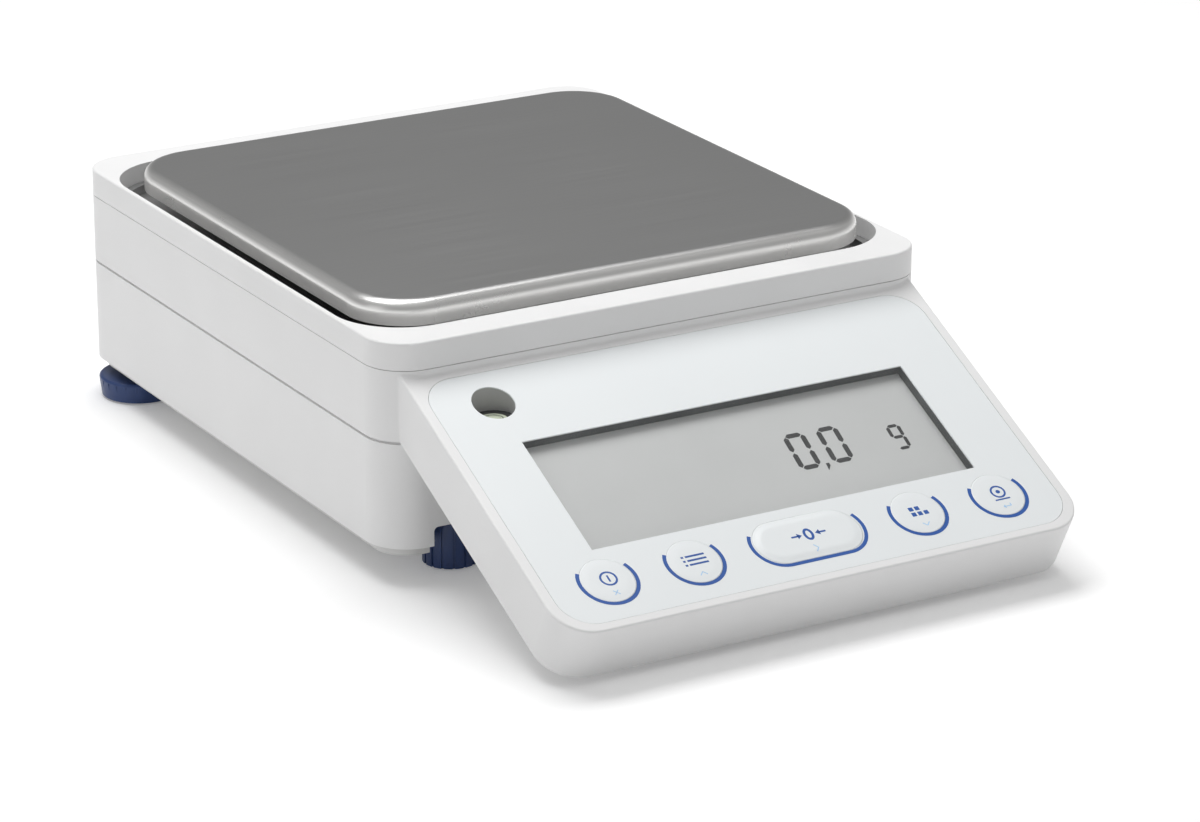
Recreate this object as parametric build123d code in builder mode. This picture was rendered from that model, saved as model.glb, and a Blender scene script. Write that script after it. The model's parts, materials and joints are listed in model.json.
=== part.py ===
from build123d import *
import os
from math import atan2, cos, degrees, hypot, radians, sin, sqrt

os.makedirs("parts", exist_ok=True)

# Frame: X to the right, Y to the back, Z up, in millimetres.
# The origin lies on the table, under the middle of the balance's outline.

# Body
body_width = 215.0
body_depth = 243.0
body_corner_radius = 15.4
wall = 2.5
edge_round = 0.8
rim_height = 86.6
frame_seam_drop = 9.65
housing_seam_height = 51.4
housing_bottom_height = 13.7

# Seams: a hairline under the top frame and a bold shadow gap at mid height
fine_seam_gap = 0.25
fine_seam_depth = 1.0
bold_seam_gap = 1.0
bold_seam_depth = 1.2

# Console
console_side_step = 6.3
console_reach = 108.1
console_head_drop = 2.526
console_front_height = 21.7
console_thickness = 21.2
console_corner_radius = 14.0
console_top_wall = 3.0
console_blend_radius = 1.3
console_cover_thickness = 2.5
cover_gap = 0.2
cable_way_width = 80.0
cable_way_height = 12.0

# Weighing pan
pan_side_gap = 7.5
pan_front_gap = 5.5
pan_back_gap = 10.7
pan_rise = 6.6
pan_skirt = 8.5
pan_sheet = 1.0
pan_corner_radius = 22.5
pan_shoulder_radius = 4.0

# Well around the pan
rim_side = 1.6
rim_front = 13.7
rim_back = 13.1
well_corner_radius = 25.0
frame_wall = 2.0
tray_sheet = 1.0
tray_floor_drop = 10.1
tray_ledge_rise = 3.2
tray_ledge_width = 2.0
tray_gap = 0.3
deck_thickness = 2.5
collar_radius = 19.0
collar_height = 2.4

# Base plate
base_inset = 3.3
base_bottom_height = 10.3
base_floor = 3.0
base_rim_height = 18.0
base_rim = 3.0
seat_flange_width = 4.0
seat_flange_thickness = 2.0

# Feet
front_foot_side = 32.2
front_foot_setback = 15.7
rear_foot_side = 12.5
rear_foot_setback = 21.2
rear_knob_radius = 15.4
rear_knob_taper = 0.9
rear_knob_top_height = 8.3
rear_knob_groove_count = 24
front_knob_radius = 9.8
front_knob_top_height = 23.5
front_knob_groove_count = 16
knob_lift = 0.8
knob_edge_round = 1.0
groove_width = 0.9
groove_depth = 0.45
pad_recess = 1.5
pad_rim = 3.6
pad_gap = 0.3
stud_radius = 3.0
stud_fit = 0.05
bush_radius = 5.0
bush_length = 8.0
stud_overrun = 4.0
foot_boss_radius = 8.0
knob_head_room = 2.2
front_cup_wall = 2.6
front_cup_roof = 8.0
front_cup_gap = 1.2
notch_width = 29.4
notch_height = 6.7
notch_corner_radius = 1.6

# Screws
screw_radius = 2.0
screw_head_radius = 3.6
screw_head_height = 2.4
screw_fit = 0.05
screw_bite = 10.0
housing_boss_radius = 4.6
housing_boss_side = 11.5
housing_boss_front = 47.5
housing_boss_back = 50.5
small_screw_radius = 1.25
small_head_radius = 2.4
small_head_height = 1.6
small_boss_radius = 3.2
small_bite = 5.0
frame_screw_inset = 9.0
cross_length = 3.0
cross_width = 0.7
cross_depth = 0.9

# Load cell
cell_width = 32.0
cell_length_ratio = 0.65
cell_height = 25.0
cell_bore_radius = 10.4
cell_bore_spacing = 34.0
cell_slot = 6.0
cell_end_ratio = 0.25
cell_spacer_height = 8.0
cell_spacer_length = 34.0
cell_screw_radius = 3.0
cell_screw_head_radius = 5.0
cell_screw_head_height = 5.0
cell_screw_spacing = 18.0
load_travel_gap = 0.35
gauge_width = 8.0
gauge_length = 10.0
gauge_thickness = 0.3
stop_radius = 3.0
stop_gap = 0.4
stop_offset = 11.0

# Pan carrier
carrier_plate = 4.0
carrier_arm_width = 22.0
carrier_hub_radius = 14.0
carrier_disc_radius = 34.0
carrier_rib = 3.0
carrier_rib_height = 2.6
carrier_hub_height = 5.0
buffer_inset = 24.0
buffer_radius = 6.0
buffer_stem_radius = 2.5
buffer_height = 4.2
buffer_cup_radius = 10.0
post_radius = 12.0
post_bolt_depth = 14.0
carrier_screw_circle = 8.0
carrier_screw_count = 3

# Weighing hook under the load cell, with a swivelling cover
hook_bolt_radius = 3.0
hook_bolt_gap = 0.3
hook_head_radius = 6.0
hook_head_height = 3.5
hook_eye_width = 9.0
hook_eye_thickness = 3.0
hook_eye_hole = 2.2
hook_hole_radius = 9.5
hook_cover_thickness = 1.5
hook_cover_overlap = 3.0
hook_pivot_offset = 18.0
hook_cover_gap = 0.1
hook_eye_gap = 0.5

# Control panel, measured up the slope from the console's front top edge
foil_side_margin = 3.9
foil_front = 3.4
foil_back_margin = 2.77
foil_corner_radius = 12.0
foil_thickness = 0.5
foil_gap = 0.15
foil_sink = 0.05
spacer_thickness = 0.6
circuit_thickness = 0.3
window_side_margin = 26.7
window_front = 33.4
window_back_margin = 36.07
bond_gap = 0.05
level_hole_radius = 7.5
level_side = 25.7
level_back_margin = 16.97
key_reach = 19.75
key_radius = 9.4
key_outer_side = 25.45
key_inner_ratio = 0.5723
tare_key_gap = 13.8
key_fit = 0.08
key_proud = 0.2
key_thickness = 0.7
key_edge_round = 0.25
key_well_gap = 0.5
dome_radius = 4.0
dome_height = 0.25
tail_width = 16.0
tail_inset = 2.0
tail_slot = 1.2

# Display
display_frame_wall = 3.0
display_frame_flange = 5.5
display_frame_gap = 0.2
lcd_depth = 3.8
lcd_thickness = 2.8
lcd_margin = 3.5
backlight_thickness = 3.0
panel_board_side = 12.2
panel_board_front = 8.0
panel_board_back_margin = 18.27
board_thickness = 1.6
board_boss_x = 55.0
board_boss_front = 14.0
board_boss_back_margin = 22.27
board_notch = 24.0
board_notch_length = 17.0
cover_boss_side = 8.7
cover_boss_front = 9.0
cover_boss_back_margin = 28.27

# Level
level_tube_radius = 7.8
level_tube_wall = 1.2
level_tube_gap = 0.2
level_cup_drop = 13.98
level_floor_thickness = 1.5
vial_height = 7.0
vial_gap = 0.1
vial_ring_height = 0.8
vial_ring_width = 1.6

# Electronics
main_board_side = 32.5
main_board_length = 42.0
main_board_back = 8.5
standoff_height = 6.0
standoff_radius = 3.0
standoff_inset = 4.5
inlet_inset = 17.0
inlet_body_width = 9.0
inlet_body_length = 13.5
inlet_body_height = 11.0
inlet_collar_radius = 4.0
inlet_bore_radius = 2.85
inlet_bore_depth = 9.0
inlet_pin_radius = 1.0
inlet_collar_gap = 0.2
port_x = -20.0
port_flange_width = 30.8
port_flange_height = 12.4
port_flange_thickness = 1.0
port_shell_width = 16.4
port_shell_height = 8.0
port_shell_slant = 10.0
port_shell_wall = 0.5
port_shell_length = 5.2
port_setback = 0.3
port_body_length = 10.0
port_screw_spacing = 25.0
port_screw_radius = 2.4
port_cutout_gap = 1.2
contact_pitch = 2.77
contact_row_gap = 2.84
contact_hole_radius = 0.55
contact_hole_depth = 2.0
chip_size = 14.0
chip_thickness = 2.0

# Places worked out from the sizes
frame_seam_height = rim_height - frame_seam_drop
console_rise = frame_seam_height - console_head_drop - console_front_height
slope_length = hypot(console_rise, console_reach)
slope_sin = console_rise / slope_length
slope_cos = console_reach / slope_length
console_width = body_width - 2 * console_side_step
console_nose = edge_round * (slope_cos + slope_sin - 1)
body_back_y = (body_depth + console_reach - console_nose) / 2
body_front_y = body_back_y - body_depth
body_centre_y = body_back_y - body_depth / 2
console_front_y = body_front_y - console_reach
pan_width = body_width - 2 * pan_side_gap
pan_depth = body_depth - rim_front - rim_back - pan_front_gap - pan_back_gap
pan_y = body_front_y + rim_front + pan_front_gap + pan_depth / 2
pan_top_height = rim_height + pan_rise
tray_floor_height = rim_height - tray_floor_drop
tray_ledge_height = tray_floor_height + tray_ledge_rise
well_front_y = body_front_y + rim_front
well_back_y = body_back_y - rim_back
well_width = body_width - 2 * rim_side
base_floor_top = base_bottom_height + base_floor
deck_top = tray_floor_height - tray_sheet
deck_bottom = deck_top - deck_thickness
front_foot_x = body_width / 2 - front_foot_side
front_foot_y = body_front_y + front_foot_setback
rear_foot_x = body_width / 2 - rear_foot_side
rear_foot_y = body_back_y - rear_foot_setback
cell_bottom = base_floor_top + cell_spacer_height
cell_top = cell_bottom + cell_height
cell_length = cell_length_ratio * pan_depth
cell_end_offset = cell_end_ratio * pan_depth
live_end_y = pan_y - cell_end_offset
fixed_end_y = pan_y + cell_end_offset
carrier_top = pan_top_height - pan_sheet - buffer_height
carrier_bottom = carrier_top - carrier_plate
post_top = carrier_bottom - carrier_hub_height
buffer_x = pan_width / 2 - buffer_inset
buffer_y = pan_depth / 2 - buffer_inset
foil_width = console_width - 2 * foil_side_margin
foil_length = slope_length - foil_front - foil_back_margin
window_width = console_width - 2 * window_side_margin
window_length = slope_length - window_front - window_back_margin
level_x = level_side - console_width / 2
level_reach = slope_length - level_back_margin
level_floor_height = console_front_height + level_reach * slope_sin - level_cup_drop
key_outer_x = console_width / 2 - key_outer_side
key_inner_x = key_outer_x * key_inner_ratio
tare_key_width = 2 * (key_inner_x - key_radius - tare_key_gap)
panel_board_width = console_width - 2 * panel_board_side
panel_board_length = slope_length - panel_board_front - panel_board_back_margin
tail_x = panel_board_width / 2 - tail_inset
board_boss_back = slope_length - board_boss_back_margin
cover_boss_x = console_width / 2 - cover_boss_side
cover_boss_back = slope_length - cover_boss_back_margin
main_board_width = body_width - 2 * main_board_side
inlet_x = main_board_width / 2 - inlet_inset
panel = Plane(
    origin=(0, console_front_y, console_front_height),
    x_dir=(1, 0, 0),
    z_dir=(0, -slope_sin, slope_cos),
)
stack_depth = foil_sink + foil_thickness + spacer_thickness + circuit_thickness
window_middle = window_front + window_length / 2
level_y = console_front_y + level_reach * slope_cos
housing_boss_points = [
    (side * (body_width / 2 - housing_boss_side), y)
    for side in (-1, 1)
    for y in (body_front_y + housing_boss_front, body_back_y - housing_boss_back)
]
front_foot_points = [(-front_foot_x, front_foot_y), (front_foot_x, front_foot_y)]
rear_foot_points = [(-rear_foot_x, rear_foot_y), (rear_foot_x, rear_foot_y)]
frame_screw_points = [
    (side * (body_width / 2 - frame_screw_inset), y)
    for side in (-1, 1)
    for y in (body_front_y + frame_screw_inset, body_back_y - frame_screw_inset)
]
key_points = {
    "power": -key_outer_x,
    "mode": -key_inner_x,
    "tare": 0.0,
    "reference": key_inner_x,
    "print": key_outer_x,
}
UP = (Align.CENTER, Align.CENTER, Align.MIN)
DOWN = (Align.CENTER, Align.CENTER, Align.MAX)


def body_outline(height, inset):
    """The body's rounded outline at a height, drawn in by an inset."""
    with BuildSketch(Plane.XY.offset(height)) as sketch:
        with Locations((0, body_centre_y)):
            RectangleRounded(
                body_width - 2 * inset,
                body_depth - 2 * inset,
                body_corner_radius - inset,
            )
    return sketch.sketch


def body_ring(height, outer_inset, inner_inset):
    """A band that follows the body's outline between two insets."""
    with BuildSketch(Plane.XY.offset(height)) as sketch:
        with Locations((0, body_centre_y)):
            for inset, mode in ((outer_inset, Mode.ADD), (inner_inset, Mode.SUBTRACT)):
                RectangleRounded(
                    body_width - 2 * inset,
                    body_depth - 2 * inset,
                    body_corner_radius - inset,
                    mode=mode,
                )
    return sketch.sketch


def well_outline(height, inset):
    """The opening of the top frame at a height, drawn in by an inset."""
    with BuildSketch(Plane.XY.offset(height)) as sketch:
        with Locations((0, (well_front_y + well_back_y) / 2)):
            RectangleRounded(
                well_width - 2 * inset,
                well_back_y - well_front_y - 2 * inset,
                well_corner_radius - inset,
            )
    return sketch.sketch


def panel_rectangle(depth, width, front, length, radius):
    """A rounded rectangle on the sloping panel, at a depth under its face."""
    with BuildSketch(panel.offset(-depth)) as sketch:
        with Locations((0, front + length / 2)):
            RectangleRounded(width, length, radius)
    return sketch.sketch


def panel_window(depth, margin):
    """The display window on the panel, widened by a margin."""
    with BuildSketch(panel.offset(-depth)) as sketch:
        with Locations((0, window_middle)):
            Rectangle(window_width + 2 * margin, window_length + 2 * margin)
    return sketch.sketch


def key_outline(depth, name, margin):
    """One key's outline on the panel, widened by a margin."""
    radius = key_radius + margin
    with BuildSketch(panel.offset(-depth)) as sketch:
        with Locations((key_points[name], key_reach)):
            if name == "tare":
                SlotOverall(tare_key_width + 2 * margin, 2 * radius)
            else:
                Circle(radius)
    return sketch.sketch


def panel_disc(depth, points, radius):
    """Round spots on the panel, given as (x, reach up the slope)."""
    with BuildSketch(panel.offset(-depth)) as sketch:
        with Locations(*points):
            Circle(radius)
    return sketch.sketch


def panel_cross(depth, points):
    """Cross slots at points of the panel."""
    with BuildSketch(panel.offset(-depth)) as sketch:
        with Locations(*points):
            Rectangle(cross_length, cross_width)
            Rectangle(cross_width, cross_length)
    return sketch.sketch


def cut_cross(points, height):
    """Cut cross slots into heads whose faces look down at this height."""
    for length, width in ((cross_length, cross_width), (cross_width, cross_length)):
        with Locations(*[(x, y, height) for x, y in points]):
            Box(length, width, cross_depth, align=UP, mode=Mode.SUBTRACT)


def save(part, name):
    """Label a finished piece and write it as its own file."""
    part.label = name
    export_step(part, f"parts/{name}.step")


# Console levels and screw places
corner_overlap = console_width / 2 - (body_width / 2 - body_corner_radius)
corner_setback = body_corner_radius - sqrt(body_corner_radius**2 - corner_overlap**2)
slab_length = (console_reach + corner_setback + bold_seam_gap / 4) / slope_cos
board_depth = lcd_depth + lcd_thickness + backlight_thickness
cover_depth = console_thickness - console_cover_thickness
cover_boss_points = [
    (side * cover_boss_x, reach)
    for side in (-1, 1)
    for reach in (cover_boss_front, cover_boss_back)
]
board_boss_points = [
    (side * board_boss_x, reach)
    for side in (-1, 1)
    for reach in (board_boss_front, board_boss_back)
]

# The hollow under the console's top wall, which stops at the body's front wall
with BuildPart() as console_hollow:
    extrude(
        panel_rectangle(
            console_top_wall,
            console_width - 2 * wall,
            wall,
            2 * console_reach,
            console_corner_radius - wall,
        ),
        amount=-2 * console_thickness,
    )
    split(bisect_by=Plane.XZ.offset(-body_front_y), keep=Keep.TOP)

# Upper housing: the middle band of the body and the console in one moulding
with BuildPart() as upper_housing:
    with BuildSketch(panel) as slab:
        with Locations((0, slab_length / 2)):
            Rectangle(console_width, slab_length)
        fillet(slab.vertices().group_by(Axis.Y)[0], console_corner_radius)
    extrude(amount=-console_thickness)
    # The console's crisp upper rim
    panel_edges = upper_housing.faces().sort_by(Axis(panel.origin, panel.z_dir))[-1].edges()
    fillet(panel_edges.sort_by(Axis(panel.origin, panel.y_dir))[:-1], edge_round)
    extrude(body_outline(0, 0), amount=housing_seam_height, mode=Mode.SUBTRACT)
    extrude(
        body_outline(housing_seam_height, 0),
        amount=frame_seam_height - housing_seam_height,
    )
    # The small cove where the console's face meets the front wall
    wall_foot_height = console_front_height + console_rise
    cove = [
        edge
        for edge in upper_housing.edges()
        if wall_foot_height - edge_round < edge.center().Z < wall_foot_height + wall
        and body_front_y - edge_round < edge.center().Y < body_front_y + body_corner_radius
        and edge.bounding_box().size.X > wall
        and edge.bounding_box().size.Z < wall
    ]
    fillet(cove, console_blend_radius)
    # Hollows: the console, the band below the deck and the seat above it
    add(console_hollow.part, mode=Mode.SUBTRACT)
    extrude(
        body_outline(housing_seam_height, wall),
        amount=deck_bottom - housing_seam_height,
        mode=Mode.SUBTRACT,
    )
    extrude(
        body_outline(deck_top, wall),
        amount=frame_seam_height - deck_top,
        mode=Mode.SUBTRACT,
    )
    # Outer halves of the two seams
    extrude(
        body_ring(frame_seam_height, -wall, fine_seam_depth),
        amount=-fine_seam_gap,
        mode=Mode.SUBTRACT,
    )
    extrude(
        body_ring(housing_seam_height, -wall, bold_seam_depth)
        & body_outline(housing_seam_height, 0),
        amount=bold_seam_gap / 2,
        mode=Mode.SUBTRACT,
    )
    # Bosses under the deck that stand on the base plate
    with Locations(*[(x, y, deck_bottom) for x, y in housing_boss_points]):
        Cylinder(housing_boss_radius, deck_bottom - base_floor_top, align=DOWN)
    with Locations(*[(x, y, base_floor_top) for x, y in housing_boss_points]):
        Cylinder(screw_radius + screw_fit, screw_bite + wall, align=UP, mode=Mode.SUBTRACT)
    # Deck openings: the carrier's post and the top frame's screws
    with Locations((0, live_end_y, deck_bottom)):
        Cylinder(collar_radius, deck_thickness, align=UP, mode=Mode.SUBTRACT)
    with Locations(*[(x, y, deck_bottom) for x, y in frame_screw_points]):
        Cylinder(small_screw_radius + screw_fit, deck_thickness, align=UP, mode=Mode.SUBTRACT)
    # Cable way from the body into the console
    with Locations((0, body_front_y, (housing_seam_height + deck_bottom) / 2)):
        Box(cable_way_width, 4 * wall, cable_way_height, mode=Mode.SUBTRACT)
    # Bosses for the console's lower cover and for the display board
    extrude(
        panel_disc(console_top_wall, cover_boss_points, small_boss_radius),
        amount=console_top_wall - cover_depth,
    )
    extrude(
        panel_disc(console_top_wall, board_boss_points, small_boss_radius),
        amount=console_top_wall - board_depth,
    )
    extrude(
        panel_disc(cover_depth, cover_boss_points, small_screw_radius + screw_fit),
        amount=small_bite + wall,
        mode=Mode.SUBTRACT,
    )
    extrude(
        panel_disc(board_depth, board_boss_points, small_screw_radius + screw_fit),
        amount=small_bite,
        mode=Mode.SUBTRACT,
    )
    # Recess for the control foil, display opening, tail slot and level tube
    extrude(
        panel_rectangle(
            0,
            foil_width + 2 * foil_gap,
            foil_front - foil_gap,
            foil_length + 2 * foil_gap,
            foil_corner_radius + foil_gap,
        ),
        amount=-stack_depth,
        mode=Mode.SUBTRACT,
    )
    extrude(
        panel_window(0, display_frame_wall + display_frame_gap),
        amount=-2 * console_top_wall,
        mode=Mode.SUBTRACT,
    )
    with BuildSketch(panel) as tail_opening:
        with Locations((-tail_x, key_reach)):
            Rectangle(tail_slot + circuit_thickness, tail_width + tail_slot)
    extrude(amount=-2 * console_top_wall, mode=Mode.SUBTRACT)
    with Locations((level_x, level_y, level_floor_height)):
        Cylinder(
            level_tube_radius + level_tube_wall + level_tube_gap,
            rim_height - level_floor_height,
            align=UP,
            mode=Mode.SUBTRACT,
        )
save(upper_housing.part, "upper_housing")

# Lower housing: a band that sits on the base plate's rim
port_height = base_floor_top + standoff_height + board_thickness + port_flange_height / 2
inlet_height = base_floor_top + standoff_height + board_thickness + inlet_body_height / 2
with BuildPart() as lower_housing:
    extrude(
        body_ring(housing_bottom_height, 0, wall),
        amount=housing_seam_height - housing_bottom_height,
    )
    extrude(
        body_ring(housing_seam_height, -wall, bold_seam_depth),
        amount=-bold_seam_gap / 2,
        mode=Mode.SUBTRACT,
    )
    extrude(
        body_ring(base_rim_height, wall / 2, wall + seat_flange_width),
        amount=seat_flange_thickness,
    )
    # Room for the front feet's cups and the rear feet's bosses
    for points, radius in (
        (front_foot_points, front_knob_radius + front_cup_gap + front_cup_wall),
        (rear_foot_points, foot_boss_radius),
    ):
        with Locations(*[(x, y, base_rim_height) for x, y in points]):
            Cylinder(
                radius + cover_gap,
                seat_flange_thickness,
                align=UP,
                mode=Mode.SUBTRACT,
            )
    # Notches that show the front knobs
    with BuildSketch(Plane.XZ.offset(-body_front_y)) as notches:
        for x, y in front_foot_points:
            with Locations((x, housing_bottom_height)):
                RectangleRounded(notch_width, 2 * notch_height, notch_corner_radius)
    extrude(amount=-(wall + seat_flange_width), mode=Mode.SUBTRACT)
    # Openings for the power inlet and the serial port
    with BuildSketch(Plane.XZ.offset(-body_back_y)) as sockets:
        with Locations((inlet_x, inlet_height)):
            Circle(inlet_collar_radius + inlet_collar_gap)
        with Locations((port_x, port_height)):
            RectangleRounded(
                port_flange_width + 2 * port_cutout_gap,
                port_flange_height + 2 * port_cutout_gap,
                port_cutout_gap,
            )
    extrude(amount=wall, mode=Mode.SUBTRACT)
save(lower_housing.part, "lower_housing")

# Base plate: a cast tray with bosses for the feet and a pad for the load cell
rear_boss_top = base_floor_top + bush_length
front_cup_ceiling = front_knob_top_height + knob_head_room
front_cup_top = front_cup_ceiling + front_cup_roof
with BuildPart() as base_plate:
    with Locations(*[(x, y, base_bottom_height) for x, y in front_foot_points]):
        Cylinder(
            front_knob_radius + front_cup_gap + front_cup_wall,
            front_cup_top - base_bottom_height,
            align=UP,
        )
    with Locations(*[(x, y, base_bottom_height) for x, y in rear_foot_points]):
        Cylinder(foot_boss_radius, rear_boss_top - base_bottom_height, align=UP)
    extrude(
        body_outline(base_bottom_height, base_inset),
        amount=front_cup_top - base_bottom_height,
        mode=Mode.INTERSECT,
    )
    extrude(body_outline(base_bottom_height, base_inset), amount=base_floor)
    extrude(
        body_ring(base_bottom_height, base_inset, base_inset + base_rim),
        amount=base_rim_height - base_bottom_height,
    )
    with Locations(*[(x, y, base_bottom_height) for x, y in front_foot_points]):
        Cylinder(
            front_knob_radius + front_cup_gap,
            front_cup_ceiling - base_bottom_height,
            align=UP,
            mode=Mode.SUBTRACT,
        )
        Cylinder(
            bush_radius,
            front_cup_top - base_bottom_height,
            align=UP,
            mode=Mode.SUBTRACT,
        )
    with Locations(*[(x, y, base_bottom_height) for x, y in rear_foot_points]):
        Cylinder(
            stud_radius + pad_gap,
            base_floor,
            align=UP,
            mode=Mode.SUBTRACT,
        )
        with Locations((0, 0, base_floor)):
            Cylinder(bush_radius, bush_length, align=UP, mode=Mode.SUBTRACT)
    # Windows that let a finger reach the front knobs
    with BuildSketch(Plane.XZ.offset(-body_front_y)) as windows:
        for x, y in front_foot_points:
            with Locations((x, housing_bottom_height)):
                Rectangle(notch_width, 2 * notch_height)
    extrude(amount=-(front_foot_setback - stud_radius), mode=Mode.SUBTRACT)
    # Screw holes up into the housing bosses and the hole for the weighing hook
    with Locations(*[(x, y, base_bottom_height) for x, y in housing_boss_points]):
        Cylinder(screw_radius + 2 * screw_fit, base_floor, align=UP, mode=Mode.SUBTRACT)
    with Locations((0, live_end_y, base_bottom_height)):
        Cylinder(hook_hole_radius, base_floor, align=UP, mode=Mode.SUBTRACT)
    with Locations((hook_pivot_offset, live_end_y, base_bottom_height)):
        Cylinder(small_screw_radius, base_floor, align=UP, mode=Mode.SUBTRACT)
save(base_plate.part, "base_plate")

# Console lower cover: closes the slab from below, up to the body's front wall
with BuildPart() as console_cover:
    extrude(
        panel_rectangle(
            cover_depth,
            console_width - 2 * wall - 2 * cover_gap,
            wall + cover_gap,
            2 * console_reach,
            console_corner_radius - wall - cover_gap,
        ),
        amount=-console_cover_thickness,
    )
    split(bisect_by=Plane.XZ.offset(cover_gap - body_front_y), keep=Keep.TOP)
    extrude(
        panel_disc(console_thickness, cover_boss_points, small_head_radius + cover_gap),
        amount=small_head_height,
        mode=Mode.SUBTRACT,
    )
    extrude(
        panel_disc(console_thickness, cover_boss_points, small_screw_radius + screw_fit),
        amount=console_cover_thickness,
        mode=Mode.SUBTRACT,
    )
save(console_cover.part, "console_cover")

with BuildPart() as console_cover_screws:
    extrude(
        panel_disc(console_thickness, cover_boss_points, small_head_radius),
        amount=small_head_height,
    )
    extrude(
        panel_disc(
            console_thickness - small_head_height, cover_boss_points, small_screw_radius
        ),
        amount=small_bite,
    )
    extrude(
        panel_cross(console_thickness, cover_boss_points),
        amount=cross_depth,
        mode=Mode.SUBTRACT,
    )
save(console_cover_screws.part, "console_cover_screws")

# Top frame: the white rim around the pan, hollow from below at both ends
with BuildPart() as top_frame:
    extrude(body_outline(frame_seam_height, 0), amount=rim_height - frame_seam_height)
    fillet(top_frame.faces().sort_by(Axis.Z)[-1].edges(), edge_round)
    extrude(
        body_outline(frame_seam_height, frame_wall)
        - well_outline(frame_seam_height, -frame_wall),
        amount=rim_height - frame_wall - frame_seam_height,
        mode=Mode.SUBTRACT,
    )
    extrude(
        well_outline(frame_seam_height, 0),
        amount=rim_height - frame_seam_height,
        mode=Mode.SUBTRACT,
    )
    with Locations(*[(x, y, deck_top) for x, y in frame_screw_points]):
        Cylinder(small_boss_radius, rim_height - frame_wall - deck_top, align=UP)
        Cylinder(
            small_screw_radius + screw_fit,
            small_bite,
            align=UP,
            mode=Mode.SUBTRACT,
        )
save(top_frame.part, "top_frame")

with BuildPart() as top_frame_screws:
    with Locations(*[(x, y, deck_bottom) for x, y in frame_screw_points]):
        Cylinder(small_head_radius, small_head_height, align=DOWN)
        Cylinder(small_screw_radius, small_bite + deck_thickness - fine_seam_gap, align=UP)
save(top_frame_screws.part, "top_frame_screws")

# Drip tray: a pressed sheet with a ledge all round and a collar at the post
with BuildPart() as drip_tray:
    extrude(
        well_outline(deck_top, tray_gap + tray_ledge_width),
        amount=tray_ledge_height - deck_top,
    )
    extrude(
        well_outline(tray_ledge_height - tray_sheet, tray_gap),
        amount=tray_sheet,
    )
    extrude(
        well_outline(tray_floor_height, tray_gap + tray_ledge_width + tray_sheet),
        amount=tray_ledge_height - tray_floor_height,
        mode=Mode.SUBTRACT,
    )
    with Locations((0, live_end_y, deck_top)):
        Cylinder(collar_radius, tray_sheet + collar_height, align=UP)
        Cylinder(
            collar_radius - tray_sheet,
            tray_sheet + collar_height,
            align=UP,
            mode=Mode.SUBTRACT,
        )
save(drip_tray.part, "drip_tray")

# Weighing pan: drawn from sheet, with a rolled shoulder and an open underside
with BuildPart() as weighing_pan:
    with BuildSketch(Plane.XY.offset(pan_top_height - pan_skirt)) as pan_outline:
        with Locations((0, pan_y)):
            RectangleRounded(pan_width, pan_depth, pan_corner_radius)
    extrude(amount=pan_skirt)
    fillet(weighing_pan.faces().sort_by(Axis.Z)[-1].edges(), pan_shoulder_radius)
    offset(
        amount=-pan_sheet,
        openings=weighing_pan.faces().sort_by(Axis.Z)[0],
    )
save(weighing_pan.part, "weighing_pan")

# Pan carrier: a cast cross with stiffening ribs, on a hub over the live end
buffer_points = [
    (sx * buffer_x, pan_y + sy * buffer_y) for sx in (-1, 1) for sy in (-1, 1)
]
arm_length = 2 * hypot(buffer_x, buffer_y)
arm_turn = degrees(atan2(buffer_y, buffer_x))
with BuildPart() as pan_carrier:
    with BuildSketch(Plane.XY.offset(carrier_bottom)) as cross:
        with Locations((0, pan_y)):
            Circle(carrier_disc_radius)
            for turn in (arm_turn, -arm_turn):
                Rectangle(arm_length, carrier_arm_width, rotation=turn)
        with Locations((0, (pan_y + live_end_y) / 2)):
            Rectangle(2 * carrier_hub_radius, cell_end_offset)
        with Locations((0, live_end_y)):
            Circle(carrier_hub_radius)
        with Locations(*buffer_points):
            Circle(buffer_cup_radius)
    extrude(amount=carrier_plate)
    with BuildSketch(Plane.XY.offset(carrier_bottom)) as ribs:
        with Locations((0, pan_y)):
            for turn in (arm_turn, -arm_turn):
                for side in (-1, 1):
                    offset_along = side * (carrier_arm_width - carrier_rib) / 2
                    with Locations(
                        (
                            -offset_along * sin(radians(turn)),
                            offset_along * cos(radians(turn)),
                        )
                    ):
                        Rectangle(arm_length, carrier_rib, rotation=turn)
    extrude(amount=-carrier_rib_height)
    with Locations((0, live_end_y, post_top)):
        Cylinder(carrier_hub_radius, carrier_hub_height, align=UP)
        with PolarLocations(carrier_screw_circle, carrier_screw_count):
            Cylinder(
                small_screw_radius + screw_fit,
                carrier_hub_height + carrier_plate,
                align=UP,
                mode=Mode.SUBTRACT,
            )
    with Locations((0, live_end_y, carrier_top)):
        with PolarLocations(carrier_screw_circle, carrier_screw_count):
            Cylinder(
                small_head_radius + screw_fit,
                small_head_height,
                align=DOWN,
                mode=Mode.SUBTRACT,
            )
    with Locations(*[(x, y, carrier_bottom) for x, y in buffer_points]):
        Cylinder(
            buffer_stem_radius + screw_fit,
            carrier_plate,
            align=UP,
            mode=Mode.SUBTRACT,
        )
save(pan_carrier.part, "pan_carrier")

with BuildPart() as pan_buffers:
    with Locations(*[(x, y, carrier_top) for x, y in buffer_points]):
        Cylinder(buffer_radius, buffer_height, align=UP)
    with Locations(*[(x, y, carrier_bottom) for x, y in buffer_points]):
        Cylinder(buffer_stem_radius, carrier_plate, align=UP)
save(pan_buffers.part, "pan_buffers")

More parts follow.
